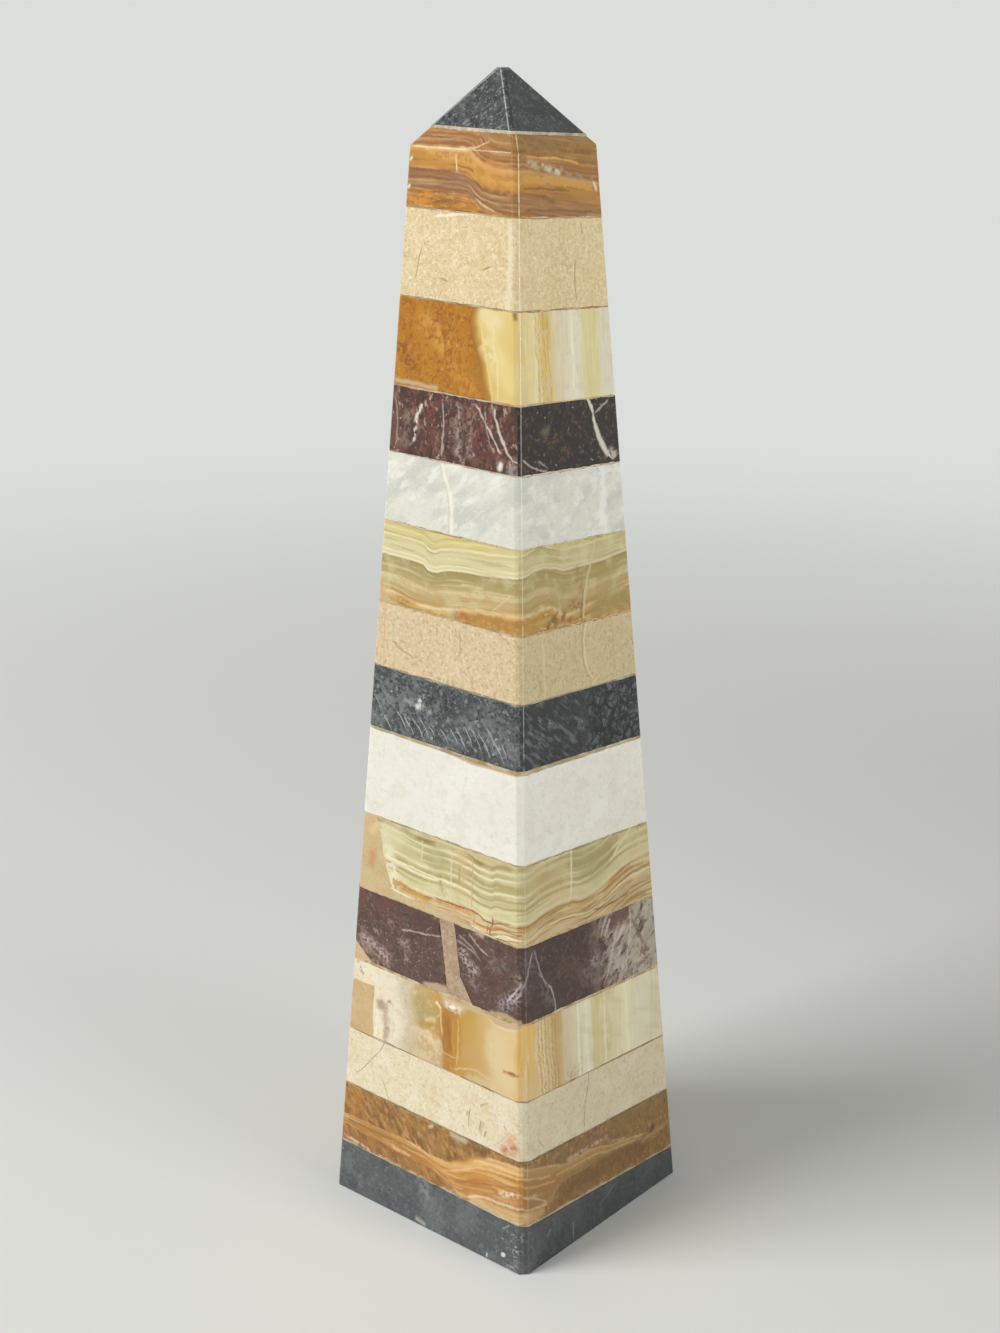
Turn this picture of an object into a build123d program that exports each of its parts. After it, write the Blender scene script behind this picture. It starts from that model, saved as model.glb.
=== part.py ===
"""Table obelisk of sixteen stone courses, glued in resin and ground to one tapered shaft with a point.

The slabs were glued up first and the shaft was ground afterwards, a few degrees off the glue lines,
so every course is a slice of one envelope between two leaning planes. +Z is up, the origin is the
centre of the foot, X runs along the front face and Y along the right-hand face. Millimetres.
"""

from build123d import *
import os

# The shaft before its arrises are ground off: widths along X and Y at the foot and at the shoulder
FOOT_X = 105.5
FOOT_Y = 102.0
SHOULDER_X = 51.5
SHOULDER_Y = 47.0

# The point: its height over the shoulder, and the worn flat left at its top
POINT_HEIGHT = 27.0
TIP_X = 3.8
TIP_Y = 3.6

# Leg of the ground arris along each upright corner, at the foot, the shoulder and the tip
FOOT_ARRIS = 2.8
SHOULDER_ARRIS = 1.7
TIP_ARRIS = 0.8

# The shoulder is ground this far under the cap's glue line, measured on the axis
CAP_ABOVE_SHOULDER = 5.0

# Rise of the glue planes for each millimetre along X and along Y
BED_RISE_X = -0.012
BED_RISE_Y = -0.080

# Stone thickness and the resin over it, on the axis, from the foot up. The cap ends at the tip.
CHARCOAL_BASE = 17.5
BROWN_LOWER = 27.1
CREAM_LOWER = 25.0
HONEY_LOWER = 31.5
BURGUNDY_LOWER = 31.0
GREEN_LOWER = 32.1
WHITE_LOWER = 36.0
CHARCOAL_MIDDLE = 25.3
BEIGE = 25.7
GREEN_UPPER = 31.7
WHITE_UPPER = 26.6
BURGUNDY_UPPER = 25.0
HONEY_UPPER = 32.9
CREAM_UPPER = 32.1
BROWN_UPPER = 28.1

THIN_RESIN = 0.4
FULL_RESIN = 0.9

# The resin under the middle charcoal course opens towards the near corner, for each millimetre
CHARCOAL_GAPE_X = 0.007
CHARCOAL_GAPE_Y = -0.007

# Resin that makes up the broken front left corners, measured along the faces from the sharp corner
GREEN_FILL_TOP = 9.0
GREEN_FILL_BOTTOM = 21.0
GREEN_FILL_SIDE = 24.0
HONEY_FILL_FRONT = 15.5
HONEY_FILL_SIDE = 13.0
HONEY_FILL_HEIGHT = 22.5
BURGUNDY_FILL_REACH = 12.0
BURGUNDY_FILL_HEIGHT = 9.0
GREEN_UPPER_FILL_REACH = 9.5
GREEN_UPPER_FILL_HEIGHT = 8.0

# The lower green slab was hollow under its front edge: depth there, and where the hollow ends
UNDERCUT_DEPTH = 3.4
UNDERCUT_END_X = 31.0
UNDERCUT_END_Y = 8.0

# The lower burgundy course is two blocks with an upright joint of resin between them. Where the left
# block ends on the front face, at its top and foot, and on the back face; and the joint's width.
JOINT_TOP_X = 2.0
JOINT_FOOT_X = 7.5
JOINT_BACK_X = -6.0
JOINT_WIDTH = 8.0

# The right block's lower edge is broken off along the joint
BROKEN_EDGE_WIDTH = 5.0
BROKEN_EDGE_HEIGHT = 9.5

# A cutting block only has to be larger than the obelisk
REACH = 1500.0


class Bed:
    """A glue plane: its height on the axis, and its rise along X and Y."""

    def __init__(self, height, rise_x=BED_RISE_X, rise_y=BED_RISE_Y):
        self.height = height
        self.rise_x = rise_x
        self.rise_y = rise_y

    def plane(self):
        return Plane(origin=(0, 0, self.height), z_dir=(-self.rise_x, -self.rise_y, 1))

    def at(self, x, y):
        return self.height + self.rise_x * x + self.rise_y * y


def over(plane):
    """Everything on the side that the plane's normal points to."""
    return plane * Box(REACH, REACH, REACH, align=(Align.CENTER, Align.CENTER, Align.MIN))


def under(plane):
    """Everything on the other side of the plane."""
    return plane * Box(REACH, REACH, REACH, align=(Align.CENTER, Align.CENTER, Align.MAX))


def plane_through(first, second, third, towards):
    """The plane of three points, its normal on the side where the point towards lies."""
    origin = Vector(*first)
    normal = (Vector(*second) - origin).cross(Vector(*third) - origin)
    if normal.dot(Vector(*towards) - origin) < 0:
        normal = normal * -1
    return Plane(origin=origin, z_dir=normal)


def outline(width_x, width_y, arris, height):
    """The shaft's section at a height: a rectangle with its corners ground off."""
    flat = Rectangle(width_x, width_y)
    return Plane.XY.offset(height) * chamfer(flat.vertices(), arris)


def half_widths(height):
    """Half the sharp-cornered section of the shaft at a height."""
    share = height / shoulder_height
    half_x = (FOOT_X + (SHOULDER_X - FOOT_X) * share) / 2
    half_y = (FOOT_Y + (SHOULDER_Y - FOOT_Y) * share) / 2
    return half_x, half_y


def front_left(height, along_front=0.0, along_side=0.0):
    """A point at the sharp front left corner, moved along the front face or along the left side."""
    half_x, half_y = half_widths(height)
    return (-half_x + along_front, -half_y + along_side, height)


# The stack, from the foot up: each stone's name and thickness, and the resin over it
stack = [
    ("charcoal_base", CHARCOAL_BASE, THIN_RESIN),
    ("brown_onyx_lower", BROWN_LOWER, THIN_RESIN),
    ("cream_marble_lower", CREAM_LOWER, THIN_RESIN),
    ("honey_onyx_lower", HONEY_LOWER, FULL_RESIN),
    ("burgundy_lower", BURGUNDY_LOWER, THIN_RESIN),
    ("green_onyx_lower", GREEN_LOWER, THIN_RESIN),
    ("white_marble_lower", WHITE_LOWER, FULL_RESIN),
    ("charcoal_middle", CHARCOAL_MIDDLE, THIN_RESIN),
    ("beige_limestone", BEIGE, THIN_RESIN),
    ("green_onyx_upper", GREEN_UPPER, THIN_RESIN),
    ("white_marble_upper", WHITE_UPPER, THIN_RESIN),
    ("burgundy_upper", BURGUNDY_UPPER, THIN_RESIN),
    ("honey_onyx_upper", HONEY_UPPER, THIN_RESIN),
    ("cream_marble_upper", CREAM_UPPER, THIN_RESIN),
    ("brown_onyx_upper", BROWN_UPPER, THIN_RESIN),
]
stack_height = sum(thickness + resin for _, thickness, resin in stack)
shoulder_height = stack_height - CAP_ABOVE_SHOULDER
tip_height = shoulder_height + POINT_HEIGHT

foot_section = outline(FOOT_X, FOOT_Y, FOOT_ARRIS, 0)
shoulder_section = outline(SHOULDER_X, SHOULDER_Y, SHOULDER_ARRIS, shoulder_height)
tip_section = outline(TIP_X, TIP_Y, TIP_ARRIS, tip_height)
shaft = loft([foot_section, shoulder_section], ruled=True)
point = loft([shoulder_section, tip_section], ruled=True)
envelope = shaft + point

nodes = {}
beds = {}
floor_bed = Bed(0.0, 0.0, 0.0)
for number, (name, thickness, resin) in enumerate(stack, start=1):
    top = Bed(floor_bed.height + thickness)
    next_floor = Bed(top.height + resin)
    if name == "white_marble_lower":
        top = Bed(top.height, BED_RISE_X - CHARCOAL_GAPE_X, BED_RISE_Y - CHARCOAL_GAPE_Y)
    nodes[name] = envelope & under(top.plane())
    if number > 1:
        nodes[name] = nodes[name] & over(floor_bed.plane())
    nodes[f"resin_bed_{number:02d}"] = envelope & over(top.plane()) & under(next_floor.plane())
    beds[name] = (floor_bed, top)
    floor_bed = next_floor
nodes["charcoal_cap"] = envelope & over(floor_bed.plane())


def corner_heights(name):
    """Where the course's lower and upper glue planes meet the sharp front left corner."""
    heights = []
    for bed in beds[name]:
        corner = front_left(bed.height)
        heights.append(bed.at(corner[0], corner[1]))
    return heights


def split_course(name, plane, fill_name):
    """Keeps the stone over the plane, and puts resin in what is left of the course."""
    whole = nodes[name]
    nodes[name] = whole & over(plane)
    nodes[fill_name] = whole & under(plane)


def fill_broken_corner(name, reach, height, fill_name):
    """Fills a small corner that is broken off the bottom of a course, front left."""
    bottom, top = corner_heights(name)
    plane = plane_through(
        front_left(bottom + height),
        front_left(bottom, along_front=reach),
        front_left(bottom, along_side=reach),
        towards=(0, 0, top),
    )
    split_course(name, plane, fill_name)


def fill_green_lower():
    """A leaning end of resin, and the hollow under the slab's front edge filled with it too."""
    name = "green_onyx_lower"
    bottom, top = corner_heights(name)
    middle = (bottom + top) / 2
    end = plane_through(
        front_left(top, along_front=GREEN_FILL_TOP),
        front_left(bottom, along_front=GREEN_FILL_BOTTOM),
        front_left(middle, along_side=GREEN_FILL_SIDE),
        towards=(0, 0, middle),
    )
    lower_bed = beds[name][0]
    front = -half_widths(lower_bed.height)[1]
    start_x = front_left(bottom, along_front=GREEN_FILL_BOTTOM)[0]
    hollow = plane_through(
        (UNDERCUT_END_X, front, lower_bed.at(UNDERCUT_END_X, front)),
        (start_x, front, lower_bed.at(start_x, front) + UNDERCUT_DEPTH),
        (start_x, UNDERCUT_END_Y, lower_bed.at(start_x, UNDERCUT_END_Y)),
        towards=(0, 0, top + middle),
    )
    whole = nodes[name]
    stone = whole & over(end) & over(hollow)
    nodes[name] = stone
    nodes["green_lower_fill"] = whole - stone


def fill_honey_lower():
    """A squared-off notch at the bottom of the front left corner, made up with resin."""
    name = "honey_onyx_lower"
    bottom, _ = corner_heights(name)
    corner_x, corner_y, _ = front_left(bottom)
    lower_bed = beds[name][0]
    notch = Pos(HONEY_FILL_FRONT, HONEY_FILL_SIDE, 0) * Box(
        REACH, REACH, HONEY_FILL_HEIGHT, align=(Align.MAX, Align.MAX, Align.MIN)
    )
    seat = Plane(
        origin=(corner_x, corner_y, lower_bed.at(corner_x, corner_y)),
        x_dir=(1, 0, lower_bed.rise_x),
        z_dir=lower_bed.plane().z_dir,
    )
    whole = nodes[name]
    nodes["honey_lower_fill"] = whole & (seat * notch)
    nodes[name] = whole - nodes["honey_lower_fill"]


def split_burgundy_lower():
    """Two blocks with a leaning joint between them, and the lower edge of the right one broken off."""
    whole = nodes.pop("burgundy_lower")
    lower_bed, upper_bed = beds["burgundy_lower"]
    back = half_widths(lower_bed.height)[1]
    top = upper_bed.at(0, -back)
    foot = lower_bed.at(0, -back)
    far_left = (-FOOT_X, 0, foot)
    far_right = (FOOT_X, 0, foot)
    left_face = plane_through(
        (JOINT_TOP_X, -back, top),
        (JOINT_FOOT_X, -back, foot),
        (JOINT_BACK_X, back, top),
        towards=far_left,
    )
    right_face = plane_through(
        (JOINT_TOP_X + JOINT_WIDTH, -back, top),
        (JOINT_FOOT_X + JOINT_WIDTH, -back, foot),
        (JOINT_BACK_X + JOINT_WIDTH, back, top),
        towards=far_right,
    )
    broken_foot_x = JOINT_FOOT_X + JOINT_WIDTH + BROKEN_EDGE_WIDTH
    share = BROKEN_EDGE_HEIGHT / (top - foot)
    broken_top_x = JOINT_FOOT_X + JOINT_WIDTH + (JOINT_TOP_X - JOINT_FOOT_X) * share
    broken_face = plane_through(
        (broken_foot_x, -back, foot),
        (broken_top_x, -back, foot + BROKEN_EDGE_HEIGHT),
        (broken_foot_x + JOINT_BACK_X - JOINT_TOP_X, back, lower_bed.at(0, back)),
        towards=far_right,
    )
    left_block = whole & over(left_face)
    right_block = whole & over(right_face) & over(broken_face)
    nodes["burgundy_left_block"] = left_block
    nodes["burgundy_right_block"] = right_block
    nodes["burgundy_joint_fill"] = whole - left_block - right_block
    beds["burgundy_left_block"] = beds["burgundy_lower"]


fill_green_lower()
fill_honey_lower()
split_burgundy_lower()
fill_broken_corner(
    "burgundy_left_block", BURGUNDY_FILL_REACH, BURGUNDY_FILL_HEIGHT, "burgundy_corner_fill"
)
fill_broken_corner(
    "green_onyx_upper", GREEN_UPPER_FILL_REACH, GREEN_UPPER_FILL_HEIGHT, "green_upper_fill"
)

os.makedirs("parts", exist_ok=True)
for name, shape in nodes.items():
    export_step(shape, f"parts/{name}.step")
print(f"{len(nodes)} nodes, shoulder at {shoulder_height:.1f} mm, tip at {tip_height:.1f} mm")
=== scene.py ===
import math
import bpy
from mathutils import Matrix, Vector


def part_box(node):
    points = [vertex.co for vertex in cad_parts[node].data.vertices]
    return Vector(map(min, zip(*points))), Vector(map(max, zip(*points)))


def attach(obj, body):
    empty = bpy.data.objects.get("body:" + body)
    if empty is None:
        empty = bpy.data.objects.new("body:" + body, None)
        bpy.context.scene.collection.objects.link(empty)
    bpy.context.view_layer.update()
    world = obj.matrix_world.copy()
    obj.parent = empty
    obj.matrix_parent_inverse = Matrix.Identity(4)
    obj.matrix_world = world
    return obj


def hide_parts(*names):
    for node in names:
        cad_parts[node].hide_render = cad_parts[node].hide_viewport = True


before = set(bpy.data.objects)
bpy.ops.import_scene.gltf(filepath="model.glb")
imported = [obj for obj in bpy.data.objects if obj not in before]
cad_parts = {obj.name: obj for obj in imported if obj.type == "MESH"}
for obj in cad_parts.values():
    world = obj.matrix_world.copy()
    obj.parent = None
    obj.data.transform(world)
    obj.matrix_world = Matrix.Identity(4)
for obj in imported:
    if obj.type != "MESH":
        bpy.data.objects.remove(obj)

from types import SimpleNamespace

import bpy
from mathutils import Vector

bpy.ops.object.select_all(action="DESELECT")
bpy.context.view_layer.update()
MM = 0.001


# ---- Charcoal foot course ------------------------------------------------------------------------
# Dark grey limestone, sawn flat underneath. The whole shaft was ground and polished after the slabs
# were glued, so every course gets the same softened arrises, and rims crumbled a little at the glue.

FOOT_HALF_X, FOOT_HALF_Y = (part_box("charcoal_base")[1][axis] / MM for axis in (0, 1))
TIP_HALF_X, TIP_HALF_Y = 1.9, 1.8
TAPER_X, TAPER_Y = 0.06279, 0.06401
POINT_TAPER_X, POINT_TAPER_Y = 0.8833, 0.8037
TIP_HEIGHT, POINT_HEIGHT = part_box("charcoal_cap")[1][2] / MM, 27.0
SHOULDER_HEIGHT = TIP_HEIGHT - POINT_HEIGHT
FOOT_ARRIS, ARRIS_TAPER = 2.8, 0.00256

# How near a face's middle is to a ground surface, and the narrowest share of the point's height.
END_REACH, SHOULDER_REACH, SKIN_REACH = 0.1, 1.0, 0.15
POINT_SHARE, ARRIS_SHARE = 0.75, 0.7

MERGE_REACH = 0.001 * MM
FLAT_ANGLE, ARRIS_ANGLE, SHARP_ANGLE = 0.6, 15, 30
ARRIS_ROUND = 0.45 * MM
ARRIS_STEPS = 3
RIM_CUTS = 44
SHORTEST_RIM = 3 * MM
STEEP_SHARE = 0.3
RIM_WEAR, RIM_MIDDLE = 0.9 * MM, 0.35
BREAK_WEAR, BREAK_MIDDLE = 2 * RIM_WEAR, 0.5
BREAK_CLEARANCE = 4
RIM_GRAIN, BREAK_GRAIN, GRAIN_DEPTH = 3.5 * MM, 7 * MM, 3


def linear(code):
    """An sRGB hex colour as linear red, green, blue and alpha."""
    parts = [int(code[place:place + 2], 16) / 255 for place in (1, 3, 5)]
    return [part / 12.92 if part <= 0.04045 else ((part + 0.055) / 1.055) ** 2.4 for part in parts] + [1.0]


def under_faces(x, y, z):
    """How far a place is under the shaft's two pairs of faces, in millimetres."""
    return FOOT_HALF_X - TAPER_X * z - abs(x), FOOT_HALF_Y - TAPER_Y * z - abs(y)


def is_ground_face(centre):
    """True for a face on the outside of the shaft or the point, and not one glued to another piece."""
    x, y, z = centre / MM
    if z < END_REACH or z > TIP_HEIGHT - END_REACH or abs(z - SHOULDER_HEIGHT) < SHOULDER_REACH:
        return True
    if z > SHOULDER_HEIGHT:
        return math.hypot(x, y) > (TIP_HEIGHT - z) * POINT_SHARE
    inside_x, inside_y = under_faces(x, y, z)
    inside_arris = (inside_x + inside_y - FOOT_ARRIS + ARRIS_TAPER * z) * ARRIS_SHARE
    return min(inside_x, inside_y, inside_arris) < SKIN_REACH


def grain_texture(name, size):
    """Cloud noise that crumbles the rims, with grains of a size."""
    grain = bpy.data.textures.new(name, "CLOUDS")
    grain.noise_scale = size
    grain.noise_depth = GRAIN_DEPTH
    return grain


crumble = grain_texture("crumbled rim", RIM_GRAIN)
break_line = grain_texture("broken edge", BREAK_GRAIN)


def wear(piece, points, direction, reach, middle, texture):
    """Shifts some of a piece's points along an axis by the texture's noise."""
    if not points:
        return
    group = piece.vertex_groups.new(name="worn")
    group.add(list(points), 1.0, "REPLACE")
    shift = piece.modifiers.new("wear", "DISPLACE")
    shift.texture = texture
    shift.texture_coords = "LOCAL"
    shift.direction = direction
    shift.strength = reach
    shift.mid_level = middle
    shift.vertex_group = group.name
    bpy.ops.object.modifier_apply(modifier=shift.name)
    piece.vertex_groups.clear()


def edges_between(mesh, wanted):
    """The edges that are wanted, by whether each of their two faces is ground and the angle between them."""
    ground = [is_ground_face(face.center) for face in mesh.polygons]
    faces_of = {}
    for face in mesh.polygons:
        for key in face.edge_keys:
            faces_of.setdefault(key, []).append(face.index)
    found = []
    for edge in mesh.edges:
        one, other = faces_of[edge.key]
        angle = mesh.polygons[one].normal.angle(mesh.polygons[other].normal)
        if wanted(ground[one], ground[other], math.degrees(angle)):
            found.append(edge)
    return found


def rims_of(mesh, middle_height):
    """The edges between ground faces and glued ones: at the top, at the foot, and upright ones."""
    rims = {"upper": [], "lower": [], "upright": []}
    for edge in edges_between(mesh, lambda one, other, angle: one != other):
        start, end = (mesh.vertices[place].co for place in edge.vertices)
        is_upright = abs(start.z - end.z) > STEEP_SHARE * (start - end).length
        rims["upright" if is_upright else "upper" if start.z > middle_height else "lower"].append(edge)
    return rims


def select_edges(piece, edges):
    """Goes into edit mode with these edges selected."""
    chosen = [edge.index for edge in edges]
    bpy.ops.object.mode_set(mode="EDIT")
    bpy.ops.mesh.select_mode(type="EDGE")
    bpy.ops.mesh.select_all(action="DESELECT")
    bpy.ops.object.mode_set(mode="OBJECT")
    for index in chosen:
        piece.data.edges[index].select = True
    bpy.ops.object.mode_set(mode="EDIT")


def ground_piece(node, material, recess=1.0):
    """A finished piece made from a merged copy of its CAD node: arrises softened, rims crumbled."""
    piece = bpy.data.objects.new(f"{node}_polished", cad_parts[node].data.copy())
    mesh = piece.data
    mesh.name = piece.name
    bpy.context.scene.collection.objects.link(piece)
    bpy.context.view_layer.objects.active = piece
    piece.select_set(True)
    bpy.ops.object.mode_set(mode="EDIT")
    bpy.ops.mesh.select_all(action="SELECT")
    bpy.ops.mesh.remove_doubles(threshold=MERGE_REACH)
    bpy.ops.mesh.dissolve_limited(angle_limit=math.radians(FLAT_ANGLE))
    bpy.ops.object.mode_set(mode="OBJECT")

    select_edges(piece, edges_between(mesh, lambda one, other, angle: one and other and angle > ARRIS_ANGLE))
    bpy.ops.mesh.bevel(offset=ARRIS_ROUND, segments=ARRIS_STEPS, affect="EDGES")
    bpy.ops.mesh.select_mode(type="FACE")
    bpy.ops.mesh.select_all(action="SELECT")
    bpy.ops.mesh.vert_connect_concave()
    bpy.ops.object.mode_set(mode="OBJECT")

    heights = [point.co.z for point in mesh.vertices]
    middle_height = (min(heights) + max(heights)) / 2
    for kind in ("upper", "lower", "upright"):
        long_rims = []
        for edge in rims_of(mesh, middle_height)[kind]:
            start, end = (mesh.vertices[place].co for place in edge.vertices)
            if (start - end).length > SHORTEST_RIM:
                long_rims.append(edge)
        select_edges(piece, long_rims)
        bpy.ops.mesh.subdivide(number_cuts=RIM_CUTS)
        bpy.ops.object.mode_set(mode="OBJECT")

    if recess == 1.0:
        rims = rims_of(mesh, middle_height)
        upper, lower, upright = ({place for edge in rims[kind] for place in edge.vertices} for kind in rims)
        under = {place: under_faces(*(mesh.vertices[place].co / MM)) for place in upright}
        for axis, direction in enumerate("XY"):
            across = [place for place in upright if under[place][axis] > BREAK_CLEARANCE]
            wear(piece, across, direction, BREAK_WEAR, BREAK_MIDDLE, break_line)
        wear(piece, upper, "Z", -RIM_WEAR, RIM_MIDDLE, crumble)
        wear(piece, lower, "Z", RIM_WEAR, RIM_MIDDLE, crumble)
    mesh.transform(((recess, 0, 0, 0), (0, recess, 0, 0), (0, 0, 1, 0), (0, 0, 0, 1)))

    bpy.ops.object.shade_smooth()
    for edge in edges_between(mesh, lambda one, other, angle: angle > SHARP_ANGLE):
        edge.use_edge_sharp = True
    bpy.ops.object.modifier_add(type="WEIGHTED_NORMAL")
    piece.modifiers[-1].keep_sharp = True
    bpy.ops.object.modifier_apply(modifier=piece.modifiers[-1].name)
    piece.select_set(False)
    mesh.materials.clear()
    mesh.materials.append(material)
    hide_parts(node)
    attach(piece, "root")
    return piece


def add(tree, kind, inputs=(), **settings):
    """Adds one node with its settings, sets or links its inputs, and returns its outputs."""
    made = tree.nodes.new("ShaderNode" + kind)
    for name, value in settings.items():
        setattr(made, name, value)
    for socket, value in inputs.items() if isinstance(inputs, dict) else enumerate(inputs):
        if isinstance(value, bpy.types.NodeSocket):
            tree.links.new(value, made.inputs[socket])
        else:
            made.inputs[socket].default_value = value
    return made.outputs


def group_of(name, inputs, outputs):
    """A new node group with these sockets: the group, what it is given, and the node for its results."""
    group = bpy.data.node_groups.new(name, "ShaderNodeTree")
    for direction, sockets in (("INPUT", inputs), ("OUTPUT", outputs)):
        for socket, kind in sockets.items():
            group.interface.new_socket(socket, in_out=direction, socket_type="NodeSocket" + kind)
    return group, group.nodes.new("NodeGroupInput").outputs, group.nodes.new("NodeGroupOutput")


def distance_group():
    """The distance from a place to the straight line between two points."""
    vectors = {"Place": "Vector", "Start": "Vector", "End": "Vector"}
    group, given, result = group_of("distance to a line", vectors, {"Distance": "Float"})
    run = add(group, "VectorMath", [given["End"], given["Start"]], operation="SUBTRACT")[0]
    off = add(group, "VectorMath", [given["Place"], given["Start"]], operation="SUBTRACT")[0]
    along = add(group, "VectorMath", [run, off], operation="DOT_PRODUCT")["Value"]
    whole = add(group, "VectorMath", [run, run], operation="DOT_PRODUCT")["Value"]
    share = add(group, "Math", [along, whole], operation="DIVIDE")[0]
    share = add(group, "Math", [share, 0.0], operation="MAXIMUM")[0]
    share = add(group, "Math", [share, 1.0], operation="MINIMUM")[0]
    foot = add(group, "VectorMath", {0: run, "Scale": share}, operation="SCALE")[0]
    gap = add(group, "VectorMath", [off, foot], operation="DISTANCE")["Value"]
    group.links.new(gap, result.inputs["Distance"])
    return group


def shaft_group():
    """Where a place is on the shaft, in millimetres. The left side is folded on to the front face and the
    back on to the right-hand one, so that what is drawn on two faces meets itself at all four arrises."""
    outputs = {"Folded": "Vector", "Under Front": "Float", "Under Side": "Float", "From Edge": "Float"}
    group, given, result = group_of("place on the shaft", {"Place": "Vector"}, outputs)
    place = add(group, "VectorMath", {0: given["Place"], "Scale": 1 / MM}, operation="SCALE")[0]
    x, y, z = add(group, "SeparateXYZ", [place])
    halves = []
    for foot, taper, tip, point_taper in (
        (FOOT_HALF_X, TAPER_X, TIP_HALF_X, POINT_TAPER_X),
        (FOOT_HALF_Y, TAPER_Y, TIP_HALF_Y, POINT_TAPER_Y),
    ):
        shaft = add(group, "Math", [z, -taper, foot], operation="MULTIPLY_ADD")[0]
        run_out = tip + point_taper * TIP_HEIGHT
        point = add(group, "Math", [z, -point_taper, run_out], operation="MULTIPLY_ADD")[0]
        halves.append(add(group, "Math", [shaft, point], operation="MINIMUM")[0])
    shape = add(group, "Math", halves, operation="DIVIDE")[0]
    y = add(group, "Math", [y, shape], operation="MULTIPLY")[0]
    along_front = add(group, "Math", [x, y], operation="MAXIMUM")[0]
    along_side = add(group, "Math", [x, y], operation="MINIMUM")[0]
    folded = add(group, "CombineXYZ", [along_front, along_side, z])[0]
    under_side = add(group, "Math", [halves[0], along_front], operation="SUBTRACT")[0]
    under_front = add(group, "Math", [halves[0], along_side], operation="ADD")[0]
    near_x = add(group, "Math", [x], operation="ABSOLUTE")[0]
    near_y = add(group, "Math", [y], operation="ABSOLUTE")[0]
    lead = add(group, "Math", [near_x, near_y], operation="SUBTRACT")[0]
    lead = add(group, "Math", [lead], operation="ABSOLUTE")[0]
    arris = add(group, "Math", [z, ARRIS_TAPER, -FOOT_ARRIS], operation="MULTIPLY_ADD")[0]
    edge = add(group, "Math", [lead, arris], operation="ADD")[0]
    for socket, value in zip(outputs, (folded, under_front, under_side, edge)):
        group.links.new(value, result.inputs[socket])
    return group


line_distance = distance_group()
shaft_place = shaft_group()


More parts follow.
